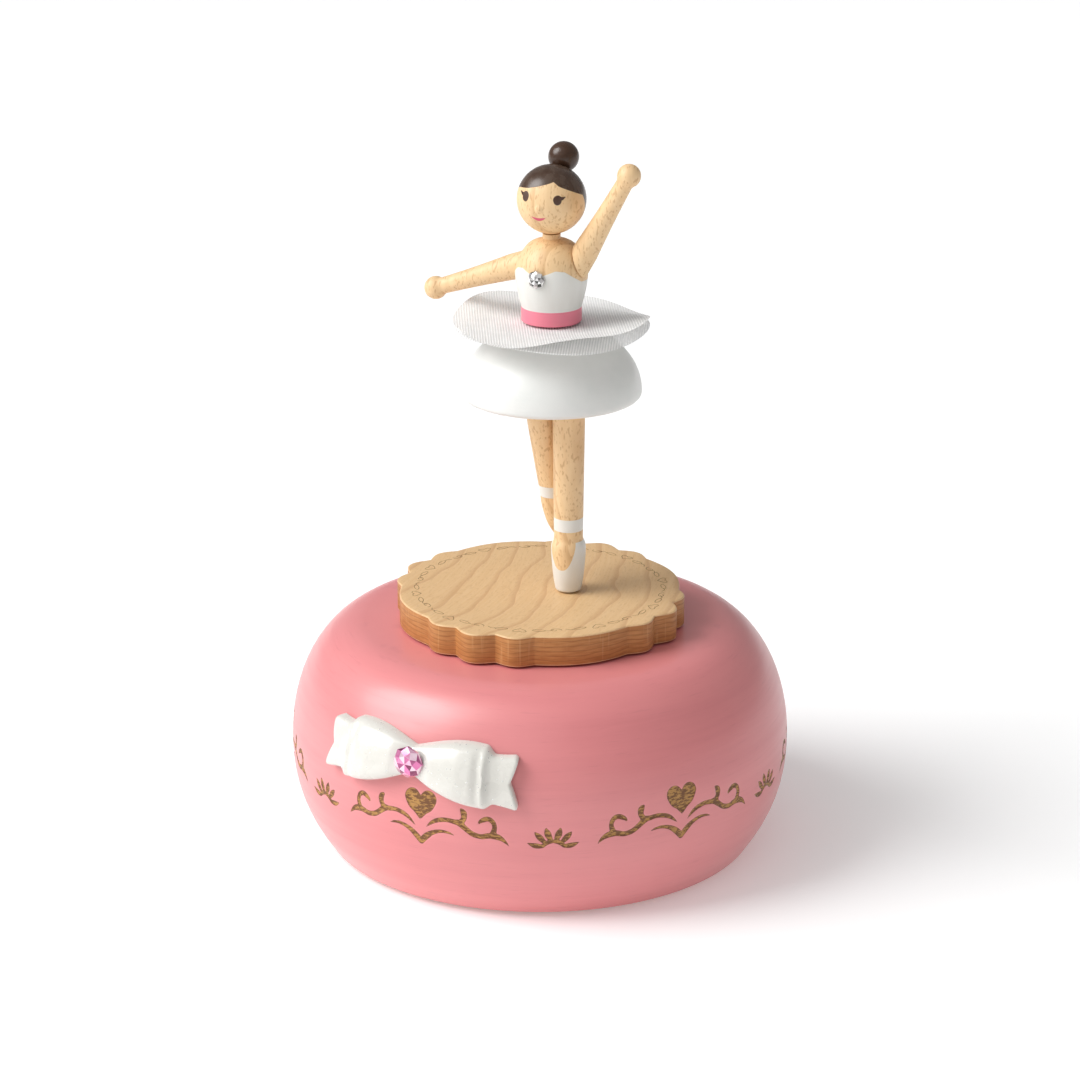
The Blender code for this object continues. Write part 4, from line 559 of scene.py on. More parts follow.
# Stage: a disc of pale wood sawn to a wavy edge, sanded and oiled, with a hair-fine burnt border on top.
# Its sawn side shows darker, honey-coloured grain. It turns with the doll.
DISC_LOW, DISC_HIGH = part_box("stage_disc")
DISC_NOTCH_RADIUS = 33.3 * MM
DISC_LOBES = ((9, 35.7 * MM), (25, 34.9 * MM), (45, 34.1 * MM))
DISC_EASE = 0.35 * MM
BORDER_RADIUS = 29.6 * MM
BORDER_LINE = 0.11 * MM
BORDER_SUNK = 0.06 * MM
BORDER_REPEATS = 10


def disc_radius_at(angle):
    """Four long lobes on the diagonals with three small ones between each pair."""
    turn = (angle + pi / 4) % (pi / 2) - pi / 4
    small, wide = radians(9), radians(25)
    if abs(turn) <= small:
        share, peak = (turn + small) / (2 * small), DISC_LOBES[0][1]
    elif abs(turn) <= wide:
        share, peak = (abs(turn) - small) / (wide - small), DISC_LOBES[1][1]
    else:
        share, peak = (abs(turn) - wide) / (pi / 2 - 2 * wide), DISC_LOBES[2][1]
    return DISC_NOTCH_RADIUS + (peak - DISC_NOTCH_RADIUS) * max(0.0, sin(pi * share)) ** 1.2


def make_disc_top():
    material, tree, shader = new_material("oiled pale wood")
    across = placed(tree, (1, 1, 1), (0, 0, radians(-4)))
    split = add_node(tree, "ShaderNodeSeparateXYZ", {"Vector": placed(tree, shift=(0, 0.012, 0))}).outputs
    bow_out = maths(tree, "MULTIPLY", maths(tree, "MULTIPLY", split["Y"], split["Y"]), 4.5)
    across = add_node(
        tree, "ShaderNodeVectorMath",
        {0: across, 1: add_node(tree, "ShaderNodeCombineXYZ", {"X": bow_out}).outputs[0]}, operation="ADD",
    ).outputs[0]
    bend = add_node(tree, "ShaderNodeTexNoise", {"Vector": placed(tree), "Scale": 14.0, "Detail": 1.0})
    swing = add_node(
        tree, "ShaderNodeVectorMath", {0: bend.outputs["Color"], 1: (0.006, 0.003, 0.0)}, operation="MULTIPLY"
    )
    curved = add_node(tree, "ShaderNodeVectorMath", {0: across, 1: swing.outputs[0]}, operation="ADD")
    laid = add_node(
        tree, "ShaderNodeMapping", {"Vector": curved.outputs[0], "Rotation": (pi / 2, 0, 0)}
    ).outputs["Vector"]
    grain = grained(tree, laid, ring_scale=130.0, ring_waver=2.2, fibre_scale=1500.0, fleck_scale=2200.0)
    colour = blend_colours(tree, grain["Fibre"], (0.79, 0.54, 0.29), (0.70, 0.45, 0.22))
    colour = blend_colours(tree, maths(tree, "MULTIPLY", grain["Rings"], 0.4), colour, (0.50, 0.25, 0.11))
    colour = blend_colours(tree, maths(tree, "MULTIPLY", grain["Flecks"], 0.18), colour, (0.45, 0.24, 0.10))
    height = maths(tree, "SUBTRACT", grain["Fibre"], grain["Rings"])
    set_shader(
        tree, shader, base_color=colour, roughness=ramp(tree, grain["Fibre"], 0.2, 0.8, 0.38, 0.52),
        normal=bumped(tree, height, 0.03 * MM),
    )
    return material


def make_disc_side():
    material, tree, shader = new_material("sawn wood edge")
    waves = add_node(tree, "ShaderNodeTexNoise", {"Vector": placed(tree), "Scale": 90.0, "Detail": 2.0})
    split = add_node(tree, "ShaderNodeSeparateXYZ", {"Vector": placed(tree)})
    level = maths(tree, "ADD", maths(tree, "MULTIPLY", split.outputs["Z"], 900.0),
                  maths(tree, "MULTIPLY", waves.outputs["Fac"], 2.2))
    bands = maths(tree, "ABSOLUTE", maths(tree, "SUBTRACT", maths(tree, "FRACT", level), 0.5))
    fibre = noise(tree, placed(tree, (240, 240, 1800)), 1.0, detail=4.0)
    saw = noise(tree, placed(tree, (1100, 1100, 60)), 1.0, detail=1.0)
    colour = blend_colours(tree, ramp(tree, fibre, 0.3, 0.7), (0.52, 0.235, 0.07), (0.42, 0.17, 0.045))
    colour = blend_colours(tree, ramp(tree, bands, 0.34, 0.5, 0.0, 0.6), colour, (0.26, 0.09, 0.022))
    colour = blend_colours(tree, ramp(tree, saw, 0.6, 0.75, 0.0, 0.25), colour, (0.75, 0.45, 0.2))
    height = maths(tree, "ADD", fibre, saw)
    set_shader(
        tree, shader, base_color=colour, roughness=ramp(tree, fibre, 0.2, 0.8, 0.42, 0.58),
        normal=bumped(tree, height, 0.05 * MM),
    )
    return material


bm = bmesh.new()
rim = [bm.verts.new((disc_radius_at(a) * cos(a), disc_radius_at(a) * sin(a), DISC_LOW.z))
       for a in (2 * pi * i / 720 for i in range(720))]
underside = bm.faces.new(rim)
raised = bmesh.ops.extrude_face_region(bm, geom=[underside], use_keep_orig=True)["geom"]
upper_points = [item for item in raised if isinstance(item, bmesh.types.BMVert)]
bmesh.ops.translate(bm, verts=upper_points, vec=(0, 0, DISC_HIGH.z - DISC_LOW.z))
bmesh.ops.recalc_face_normals(bm, faces=bm.faces)
bm.normal_update()
for face in bm.faces:
    face.material_index = 0 if face.normal.z > 0.9 else 1
level_edges = [edge for edge in bm.edges if abs(edge.verts[0].co.z - edge.verts[1].co.z) < 0.1 * MM]
bmesh.ops.bevel(
    bm, geom=level_edges, offset=DISC_EASE, offset_type="OFFSET", segments=3, profile=0.5, affect="EDGES",
    material=0, clamp_overlap=True,
)
flats = [face for face in bm.faces if abs(face.normal.z) > 0.9 and len(face.verts) > 8]
bmesh.ops.inset_region(bm, faces=flats, thickness=1.5 * MM, depth=0)
disc_materials = [make_disc_top(), make_disc_side()]
finish_piece("stage_scalloped", bm, "turntable", disc_materials, ["stage_disc"], sharp=35)


def make_scorch():
    material, tree, shader = new_material("burnt line")
    patchy = noise(tree, placed(tree), 600.0)
    colour = blend_colours(tree, ramp(tree, patchy, 0.3, 0.7), (0.17, 0.095, 0.035), (0.36, 0.23, 0.10))
    set_shader(tree, shader, base_color=colour, roughness=ramp(tree, patchy, 0.3, 0.7, 0.6, 0.8))
    return material


def border_lines():
    """Loops, leaves and linking lines of one repeat, in (turn, outward) millimetres."""
    heart = [(1.6 * sin(t) ** 3, 0.35 + 1.0 * cos(t) - 0.45 * cos(2 * t) - 0.15 * cos(3 * t))
             for t in (2 * pi * i / 22 for i in range(23))]
    leaf = [(4.4 + 1.5 * cos(t), 0.55 * sin(t) + 0.2 * cos(t)) for t in (2 * pi * i / 16 for i in range(17))]
    curl = [(8.2 + (0.25 + 0.13 * i) * cos(0.6 * i), (0.2 + 0.08 * i) * sin(0.6 * i)) for i in range(12)]
    link = [(5.9 + 0.5 * i, 0.35 * sin(i * 1.1)) for i in range(5)]
    return [heart, leaf, curl, link, [(-u, v) for u, v in leaf], [(-u, v) for u, v in link]]


border = bpy.data.curves.new("stage_border", "CURVE")
border.dimensions = "3D"
border.bevel_depth = BORDER_LINE
border.bevel_resolution = 1
for repeat in range(BORDER_REPEATS):
    for line in border_lines():
        spline = border.splines.new("POLY")
        spline.points.add(len(line) - 1)
        for point, (u, v) in zip(spline.points, line):
            angle = 2 * pi * repeat / BORDER_REPEATS + u * MM / BORDER_RADIUS
            radius = BORDER_RADIUS + v * MM
            point.co = (radius * cos(angle), radius * sin(angle), DISC_HIGH.z - BORDER_SUNK, 1)
border_piece = bpy.data.objects.new("stage_border", border)
bpy.context.scene.collection.objects.link(border_piece)
border.materials.append(make_scorch())
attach(border_piece, "turntable")

# Legs: turned beech. The standing one ends in a painted pointe shoe with an open instep and an ankle ribbon.
# The other is bent back behind the knee and glued, like the first, into a socket under the skirt.
DOLL_X, DOLL_Y = 2.5 * MM, 1.0 * MM
LEG_X = DOLL_X + 4.6 * MM
SOLE_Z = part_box("standing_leg")[0].z
LEG_TOP_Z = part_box("standing_leg")[1].z
SKIRT_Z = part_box("skirt")[0].z
SHOE_HEIGHT = 12.6 * MM
LEG_TOP_RADIUS = 3.9 * MM
WHITE = (0.80, 0.79, 0.75)


def beech_colour(tree, ring_share):
    """Beech: creamy tan with short brown flecks and soft growth lines: (colour, height, fibre)."""
    grain = grained(
        tree, placed(tree, (1, 0.55, 1), (0.2, 0.1, 0.5)), ring_scale=150.0, ring_waver=3.0,
        fibre_scale=1300.0, fleck_scale=2100.0,
    )
    colour = blend_colours(tree, grain["Fibre"], (0.88, 0.64, 0.37), (0.78, 0.51, 0.26))
    late_wood = maths(tree, "MULTIPLY", grain["Rings"], ring_share)
    colour = blend_colours(tree, late_wood, colour, (0.52, 0.27, 0.10))
    colour = blend_colours(tree, maths(tree, "MULTIPLY", grain["Flecks"], 0.55), colour, (0.52, 0.28, 0.12))
    height = maths(tree, "SUBTRACT", grain["Fibre"], grain["Flecks"])
    return colour, height, grain["Fibre"]


def painted_beech(name, coats, ring_share=0.4):
    """Beech with brushed coats of paint: (attribute, colour, roughness), painted where it is above 0."""
    material, tree, shader = new_material(name)
    colour, height, fibre = beech_colour(tree, ring_share)
    rough = ramp(tree, fibre, 0.2, 0.8, 0.42, 0.56)
    height = maths(tree, "MULTIPLY", height, 0.35)
    brushed = noise(tree, placed(tree, (500, 500, 160)), 1.0, detail=3.0)
    for attribute, paint, gloss in coats:
        depth = add_node(tree, "ShaderNodeAttribute", attribute_name=attribute).outputs["Fac"]
        inside = ramp(tree, depth, -0.03, 0.05)
        thin = blend_colours(tree, ramp(tree, brushed, 0.2, 0.8, 0.0, 0.10), paint, (0.55, 0.45, 0.36))
        colour = blend_colours(tree, inside, colour, thin)
        shine = ramp(tree, brushed, 0.2, 0.8, gloss - 0.04, gloss + 0.06)
        difference = maths(tree, "SUBTRACT", shine, rough)
        rough = maths(tree, "ADD", rough, maths(tree, "MULTIPLY", inside, difference))
        bare = maths(tree, "SUBTRACT", 1.0, inside)
        thickness = maths(tree, "ADD", 0.8, maths(tree, "MULTIPLY", brushed, 0.35))
        film = maths(tree, "MULTIPLY", inside, thickness)
        height = maths(tree, "ADD", maths(tree, "MULTIPLY", height, bare), film)
    set_shader(tree, shader, base_color=colour, roughness=rough, normal=bumped(tree, height, 0.05 * MM, 0.8))
    return material


ribboned_beech = painted_beech("beech with white shoe", [("shoe_white", WHITE, 0.42)])
shoe_top = SOLE_Z + SHOE_HEIGHT
leg_profile = [
    (0, SOLE_Z), (2.4 * MM, SOLE_Z), (2.85 * MM, SOLE_Z + 0.15 * MM), (3.1 * MM, SOLE_Z + 0.5 * MM),
    (3.3 * MM, SOLE_Z + 1.6 * MM), (3.55 * MM, SOLE_Z + 3 * MM), (3.78 * MM, SOLE_Z + 5 * MM),
    (3.95 * MM, SOLE_Z + 7 * MM), (4.1 * MM, SOLE_Z + 9 * MM), (4.15 * MM, SOLE_Z + 10.7 * MM),
    (4.05 * MM, shoe_top - 1.0 * MM), (3.85 * MM, shoe_top - 0.4 * MM), (3.55 * MM, shoe_top + 0.2 * MM),
    (3.45 * MM, shoe_top + 0.7 * MM), (3.47 * MM, shoe_top + 3 * MM), (3.53 * MM, shoe_top + 7 * MM),
]


def fine_profile(profile, most):
    """Split long steps of a profile so that marks on it stay sharp."""
    fine = [profile[0]]
    for (r0, z0), (r1, z1) in zip(profile, profile[1:]):
        parts = max(1, int(np.hypot(r1 - r0, z1 - z0) / most + 0.99))
        fine += [(r0 + (r1 - r0) * i / parts, z0 + (z1 - z0) * i / parts) for i in range(1, parts + 1)]
    return fine


leg_profile += [(LEG_TOP_RADIUS, SKIRT_Z), (LEG_TOP_RADIUS, LEG_TOP_Z), (0, LEG_TOP_Z)]
bm = lathe(fine_profile(leg_profile, 0.5 * MM), 72)
bmesh.ops.translate(bm, verts=bm.verts, vec=(LEG_X, DOLL_Y, 0))
standing = finish_piece("leg_standing", bm, "turntable", [ribboned_beech], ["standing_leg"])
at = points_of(standing)
facing = np.abs(np.arctan2(at[:, 0] - LEG_X, -(at[:, 1] - DOLL_Y)))
throat = 68.6 + 6.9 * np.clip(facing / 0.95, 0, 1) ** 2.6
shoe = throat - at[:, 2] / MM
ribbon = 1.55 - np.abs(at[:, 2] / MM - 79.6)
mark(standing, "shoe_white", np.maximum(shoe, ribbon))

hip = DOLL_X - 3.6 * MM
drop = SKIRT_Z - DISC_HIGH.z
bent_stations = [
    (hip - 0.2 * MM, DOLL_Y - 0.3 * MM, LEG_TOP_Z, 1.0),
    (hip + 0.1 * MM, DOLL_Y + 0.4 * MM, SKIRT_Z - 0.5 * MM, 0.987),
    (hip + 0.9 * MM, DOLL_Y + 2.5 * MM, SKIRT_Z - 0.28 * drop, 0.88),
    (hip + 1.65 * MM, DOLL_Y + 4.2 * MM, SKIRT_Z - 0.51 * drop, 0.78),
    (hip + 2.0 * MM, DOLL_Y + 5.0 * MM, SKIRT_Z - 0.595 * drop, 0.8),
    (hip + 2.8 * MM, DOLL_Y + 6.4 * MM, SKIRT_Z - 0.68 * drop, 0.82),
    (hip + 3.7 * MM, DOLL_Y + 8.0 * MM, SKIRT_Z - 0.75 * drop, 0.7),
    (hip + 4.3 * MM, DOLL_Y + 9.1 * MM, SKIRT_Z - 0.795 * drop, 0.55),
    (hip + 4.5 * MM, DOLL_Y + 9.5 * MM, SKIRT_Z - 0.81 * drop, 0.3),
]
bent_path = smooth_stroke(bent_stations, parts=9)
bm = bmesh.new()
rings = []
for i, (x, y, z, share) in enumerate(bent_path):
    before, after = bent_path[max(0, i - 1)], bent_path[min(len(bent_path) - 1, i + 1)]
    along = Vector(after[:3]) - Vector(before[:3])
    stand = Matrix.Translation((x, y, z)) @ along.to_track_quat("Z", "Y").to_matrix().to_4x4()
    ring = bmesh.ops.create_circle(bm, segments=48, radius=LEG_TOP_RADIUS * share, matrix=stand)["verts"]
    rings.append(list({edge for vert in ring for edge in vert.link_edges}))
for near, far in zip(rings, rings[1:]):
    bmesh.ops.bridge_loops(bm, edges=near + far)
for ring in (rings[0], rings[-1]):
    bmesh.ops.holes_fill(bm, edges=ring, sides=64)
bmesh.ops.recalc_face_normals(bm, faces=bm.faces)
bent = finish_piece("leg_bent", bm, "turntable", [ribboned_beech], ["bent_leg"], sharp=50)
at = points_of(bent)
mark(bent, "shoe_white", 1.4 - np.abs(at[:, 2] / MM - 85.6))

# Skirt: a turned wooden dome, sprayed white in several coats, with sockets for the legs and the waist peg.
SKIRT_LOW, SKIRT_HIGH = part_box("skirt")
SKIRT_RADIUS = 21.3 * MM
SKIRT_TOP_RADIUS = 8 * MM
SKIRT_EDGE = 1.2 * MM


def make_white_paint():
    material, tree, shader = new_material("white sprayed paint")
    cloud = noise(tree, placed(tree), 120.0, detail=3.0)
    peel = noise(tree, placed(tree), 1400.0)
    rings = noise(tree, placed(tree, (20, 20, 1500)), 1.0)
    colour = blend_colours(tree, ramp(tree, cloud, 0.3, 0.7), (0.80, 0.80, 0.77), (0.76, 0.77, 0.74))
    height = maths(tree, "ADD", peel, rings)
    set_shader(
        tree, shader, base_color=colour, roughness=ramp(tree, cloud, 0.2, 0.8, 0.32, 0.44),
        normal=bumped(tree, height, 0.025 * MM), coat_weight=0.15, coat_roughness=0.25,
    )
    return material


shoulder = SKIRT_HIGH.z - SKIRT_LOW.z - SKIRT_EDGE
level = shoulder / sqrt(1 - (SKIRT_TOP_RADIUS / SKIRT_RADIUS) ** 2)
skirt_profile = [(0, SKIRT_Z), (SKIRT_RADIUS - SKIRT_EDGE, SKIRT_Z)]
for i in range(1, 5):
    turn = i / 5 * pi / 2
    radius = SKIRT_RADIUS - SKIRT_EDGE * (1 - sin(turn))
    skirt_profile.append((radius, SKIRT_Z + SKIRT_EDGE * (1 - cos(turn))))
for i in range(25):
    rise = shoulder * sin(i / 24 * pi / 2) ** 1.15
    skirt_profile.append((SKIRT_RADIUS * sqrt(1 - (rise / level) ** 2), SKIRT_Z + SKIRT_EDGE + rise))
skirt_profile.append((0, SKIRT_HIGH.z))
bm = lathe(skirt_profile, 128)
bmesh.ops.translate(bm, verts=bm.verts, vec=(DOLL_X, DOLL_Y, 0))
finish_piece("skirt_turned", bm, "turntable", [make_white_paint()], ["skirt"], sharp=60)

# Tulle: two rounds of stiff white net, cut 46 mm across and laid between skirt and waist round the waist peg.
# Its fine ribs run straight across, and its edge lifts and droops in long waves.
NET_RADIUS = 23 * MM
NET_HOLE = 2.2 * MM
NET_FLAT_RADIUS = 9 * MM
NET_RIB = 0.62 * MM


def make_net():
    material, tree, shader = new_material("white net")
    where = tree.nodes.new("ShaderNodeUVMap")
    where.uv_map = "cloth"
    cells = add_node(tree, "ShaderNodeSeparateXYZ", {"Vector": where.outputs["UV"]})
    count = 2 * NET_RADIUS / NET_RIB
    rib = maths(tree, "SINE", maths(tree, "MULTIPLY", cells.outputs["X"], 2 * pi * count))
    cross = maths(tree, "SINE", maths(tree, "MULTIPLY", cells.outputs["Y"], 2 * pi * count * 2.3))
    thread = maths(tree, "MAXIMUM", ramp(tree, rib, -0.6, 0.7), ramp(tree, cross, 0.2, 0.9, 0.0, 0.5))
    cloud = noise(tree, where.outputs["UV"], 9.0)
    worn = ramp(tree, cloud, 0.2, 0.8, 0.9, 1.0)
    opacity = maths(tree, "MULTIPLY", ramp(tree, thread, 0.0, 1.0, 0.76, 0.97), worn)
    colour = blend_colours(tree, thread, (0.93, 0.93, 0.92), (0.97, 0.97, 0.96))
    set_shader(
        tree, shader, base_color=colour, alpha=opacity, roughness=ramp(tree, cloud, 0.2, 0.8, 0.65, 0.8),
        normal=bumped(tree, thread, 0.08 * MM), sheen_weight=0.3,
    )
    return material


net_material = make_net()


def lay_net(name, middle_z, wave, node, turn):
    rings = 26
    profile = [(NET_HOLE + (NET_RADIUS - NET_HOLE) * i / rings, 0) for i in range(rings + 1)]
    bm = lathe(profile, 180)
    uv = bm.loops.layers.uv.new("cloth")
    for face in bm.faces:
        for loop in face.loops:
            x, y = loop.vert.co.x, loop.vert.co.y
            ribs = x * cos(turn) + y * sin(turn), y * cos(turn) - x * sin(turn)
            loop[uv].uv = (ribs[0] / (2 * NET_RADIUS) + 0.5, ribs[1] / (2 * NET_RADIUS) + 0.5)
    for vert in bm.verts:
        x, y = vert.co.x, vert.co.y
        reach = max(0.0, (sqrt(x * x + y * y) - NET_FLAT_RADIUS) / (NET_RADIUS - NET_FLAT_RADIUS))
        around = np.arctan2(y, x)
        vert.co.z = middle_z + wave(reach, around)
    bmesh.ops.translate(bm, verts=bm.verts, vec=(DOLL_X, DOLL_Y, 0))
    piece = finish_piece(name, bm, "turntable", [net_material], [node], sharp=0)
    return piece


def low_wave(reach, around):
    return reach**1.4 * (0.7 * sin(3 * around + 0.4) - 0.2) * MM


def high_wave(reach, around):
    return reach**1.5 * (1.0 + 1.3 * sin(2 * around + 2.2) + 0.5 * sin(5 * around)) * MM


lay_net("net_lower", 127.3 * MM, low_wave, "tulle_lower", radians(23))
lay_net("net_upper", 128.25 * MM, high_wave, "tulle_upper", radians(30))

# Torso: turned beech, left bare at the shoulders, with a white painted bodice and a pink painted sash.
# The two shoulder facets take the arms, and the neck carries the head.
WAIST_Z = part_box("torso")[0].z
SASH_RADIUS, SASH_HEIGHT = 7.1 * MM, 3.6 * MM
BUST_RADIUS, BUST_HEIGHT = 8.5 * MM, 11.8 * MM
SHOULDER_HEIGHT = 19.4 * MM
NECK_RADIUS = 2.1 * MM
NECK_LENGTH = 1.3 * MM
FACET_SLOPE = radians(20)
FACET_DISTANCE = 7.2 * MM
ARM_HEIGHTS = {1: 14.6 * MM, -1: 12.6 * MM}
torso_profile = [(0, WAIST_Z), (SASH_RADIUS - 0.2 * MM, WAIST_Z), (SASH_RADIUS, WAIST_Z + 0.2 * MM)]
torso_profile.append((SASH_RADIUS, WAIST_Z + SASH_HEIGHT))
for i in range(1, 13):
    share = i / 12
    radius = SASH_RADIUS + (BUST_RADIUS - SASH_RADIUS) * sin(share * pi / 2)
    torso_profile.append((radius, WAIST_Z + SASH_HEIGHT + (BUST_HEIGHT - SASH_HEIGHT) * share))
for i in range(1, 21):
    angle = i / 21 * pi / 2
    radius = NECK_RADIUS + (BUST_RADIUS - NECK_RADIUS) * cos(angle)
    rise = (SHOULDER_HEIGHT - BUST_HEIGHT) * sin(angle) ** 1.1
    torso_profile.append((radius, WAIST_Z + BUST_HEIGHT + rise))
neck_top = WAIST_Z + SHOULDER_HEIGHT + NECK_LENGTH
torso_profile += [(NECK_RADIUS, neck_top - 1.2 * MM), (NECK_RADIUS, neck_top), (0, neck_top)]
bm = lathe(fine_profile(torso_profile, 0.3 * MM), 128)


def slice_flat(bm, point, normal):
    """Cut away what lies beyond a plane and close the cut with a flat face."""
    geometry = list(bm.verts) + list(bm.edges) + list(bm.faces)
    cut = bmesh.ops.bisect_plane(bm, geom=geometry, plane_co=point, plane_no=normal, clear_outer=True)
    rim = [item for item in cut["geom_cut"] if isinstance(item, bmesh.types.BMEdge)]
    bmesh.ops.holes_fill(bm, edges=rim, sides=400)


for side, height in ARM_HEIGHTS.items():
    outward = Vector((side * cos(FACET_SLOPE), 0, sin(FACET_SLOPE)))
    slice_flat(bm, Vector((side * FACET_DISTANCE, 0, WAIST_Z + height)), outward)
bmesh.ops.translate(bm, verts=bm.verts, vec=(DOLL_X, DOLL_Y, 0))
bodice_beech = painted_beech(
    "beech with bodice and sash", [("bodice_white", WHITE, 0.44), ("sash_pink", (0.86, 0.215, 0.30), 0.40)]
)
torso = finish_piece("torso_painted", bm, "turntable", [bodice_beech], ["torso"])
at = points_of(torso)
around = np.degrees(np.arctan2(at[:, 0] - DOLL_X, -(at[:, 1] - DOLL_Y)))
neckline = np.interp(
    np.abs(around - 3), [0, 12, 30, 45, 62, 78, 100, 180],
    [140.6, 141.5, 142.5, 142.2, 140.6, 139.3, 139.0, 139.0],
)
mark(torso, "bodice_white", neckline - at[:, 2] / MM)
mark(torso, "sash_pink", WAIST_Z / MM + SASH_HEIGHT / MM - 0.1 - at[:, 2] / MM)

# Arms: two identical turned pegs with ball hands and slanted ends, one turned half round on its shoulder.
ARM_LENGTH = 25 * MM
ARM_RADIUS = 3.05 * MM
WRIST_RADIUS = 1.95 * MM
HAND_RADIUS = 2.75 * MM
ARM_MITRE = radians(40)
ARM_SPARE = 5 * MM
JOINT_GAP = 0.3 * MM
ARM_STRAIGHT = 3 * MM
plain_beech = painted_beech("bare beech", [], ring_share=0.08)


def arm_shape():
    neck = ARM_LENGTH - sqrt(HAND_RADIUS**2 - WRIST_RADIUS**2) - 0.4 * MM
    profile = [(0, -ARM_SPARE), (ARM_RADIUS, -ARM_SPARE), (ARM_RADIUS, ARM_STRAIGHT)]
    for i in range(1, 17):
        share = i / 16
        radius = ARM_RADIUS + (WRIST_RADIUS - ARM_RADIUS) * share - 0.12 * MM * sin(pi * share)
        profile.append((radius, ARM_STRAIGHT + (neck - ARM_STRAIGHT) * share))
    start = acos((ARM_LENGTH - neck - 0.4 * MM) / HAND_RADIUS)
    for i in range(1, 19):
        angle = start + (pi - start) * i / 19
        profile.append((HAND_RADIUS * sin(angle), ARM_LENGTH - HAND_RADIUS * cos(angle)))
    profile.append((0, ARM_LENGTH + HAND_RADIUS))
    bm = lathe(profile, 64)
    bmesh.ops.transform(bm, matrix=Matrix.Rotation(ARM_MITRE, 4, "Y"), verts=bm.verts)
    slice_flat(bm, Vector((0, 0, JOINT_GAP)), Vector((0, 0, -1)))
    return bm


for name, side, turn in (("left_arm", 1, pi), ("right_arm", -1, 0.0)):
    outward = Vector((side * cos(FACET_SLOPE), 0, sin(FACET_SLOPE)))
    down = Vector((side * sin(FACET_SLOPE), 0, -cos(FACET_SLOPE)))
    stand = Matrix((down, outward.cross(down), outward)).transposed().to_4x4()
    place = Matrix.Translation((DOLL_X + side * FACET_DISTANCE, DOLL_Y, WAIST_Z + ARM_HEIGHTS[side]))
    bm = arm_shape()
    bmesh.ops.transform(bm, matrix=place @ stand @ Matrix.Rotation(turn, 4, "Z"), verts=bm.verts)
    bmesh.ops.recalc_face_normals(bm, faces=bm.faces)
    finish_piece(f"{name}_turned", bm, f"{name}_body", [plain_beech], [name], sharp=45)

# Head: a turned beech ball with a tiny nose, and painted hair with a side parting, eyes, lashes and smile.
HEAD_RADIUS = 8.06 * MM
HEAD_CENTRE = Vector((DOLL_X, DOLL_Y, 157.58 * MM))
HEAD_POSE = Matrix.Rotation(radians(5), 4, "Z") @ Matrix.Rotation(radians(2.5), 4, "Y")
NOSE_RADIUS = 0.62 * MM
NOSE_LIFT = 0.42 * MM
BUN_RADIUS = 3.6 * MM
BUN_DISTANCE = 10.8 * MM
BUN_LIFT = radians(53)
HAIR = (0.048, 0.021, 0.010)
bm = bmesh.new()
bmesh.ops.create_uvsphere(bm, u_segments=224, v_segments=120, radius=HEAD_RADIUS)
slice_flat(bm, Vector((0, 0, neck_top + 0.25 * MM)) - Vector((0, 0, HEAD_CENTRE.z)), Vector((0, 0, -1)))
for vert in bm.verts:
    direction = vert.co.normalized()
    lift = direction.angle(Vector((sin(radians(5.1)), -cos(radians(5.1)), -0.09)).normalized()) * HEAD_RADIUS
    vert.co += direction * NOSE_LIFT * max(0.0, 1 - (lift / (1.9 * NOSE_RADIUS)) ** 2) ** 2
bmesh.ops.translate(bm, verts=bm.verts, vec=HEAD_CENTRE)
bmesh.ops.recalc_face_normals(bm, faces=bm.faces)
face_beech = painted_beech(
    "beech with painted face",
    [
        ("smile_pink", (0.68, 0.07, 0.15), 0.4), ("eye_brown", (0.06, 0.022, 0.012), 0.3),
        ("hair_brown", HAIR, 0.26),
    ],
)
head = finish_piece("head_painted", bm, "turntable", [face_beech], ["head"])
at = (points_of(head) - np.array(HEAD_CENTRE)) / HEAD_RADIUS
azimuth = np.degrees(np.arctan2(at[:, 0], -at[:, 1]))
latitude = np.degrees(np.arcsin(np.clip(at[:, 2] / np.linalg.norm(at, axis=1), -1, 1)))
degree = HEAD_RADIUS / MM * pi / 180
hairline = np.interp(
    azimuth,
    [-180, -118, -101, -90, -72, -48, -20.5, 0.8, 22, 31, 40.4, 58.9, 79.7, 91.5, 101, 118, 180],
    [-44, -40, -8, 12, 18, 23.7, 27.3, 32.6, 38.5, 41.5, 33.4, 25.2, 16.8, 12.5, -8, -40, -44],
)
mark(head, "hair_brown", (latitude - hairline) * degree)


def on_face(stroke):
    """Stations of (azimuth, latitude) in degrees and half width in millimetres, laid flat."""
    return [(a * degree * cos(radians(b)), b * degree, w) for a, b, w in stroke]


u = azimuth * degree * np.cos(np.radians(latitude))
v = latitude * degree
right_eye = [(36.2, 11.8, 0.98), (36.8, 9.2, 0.95)]
left_eye = [(-22.4, 14.8, 1.0), (-22.8, 11.6, 0.98)]
right_lash = [(39, 12.6, 0.55), (45, 13.0, 0.38), (53.5, 16.6, 0.0)]
left_lash = [(-26, 15.5, 0.5), (-33, 16.5, 0.36), (-43, 20.5, 0.0)]
smile = [(-10.8, -19.6, 0.08), (-4, -22.3, 0.3), (2.9, -23.8, 0.42), (10, -22.4, 0.3), (16.6, -19.6, 0.08)]
lines = [stroke_depth(u, v, on_face(stroke)) for stroke in (right_eye, left_eye, right_lash, left_lash)]
mark(head, "eye_brown", np.max(lines, axis=0))
mark(head, "smile_pink", stroke_depth(u, v, smooth_stroke(on_face(smile))))

bun_out = HEAD_POSE.to_3x3() @ Vector((0, cos(BUN_LIFT), sin(BUN_LIFT)))


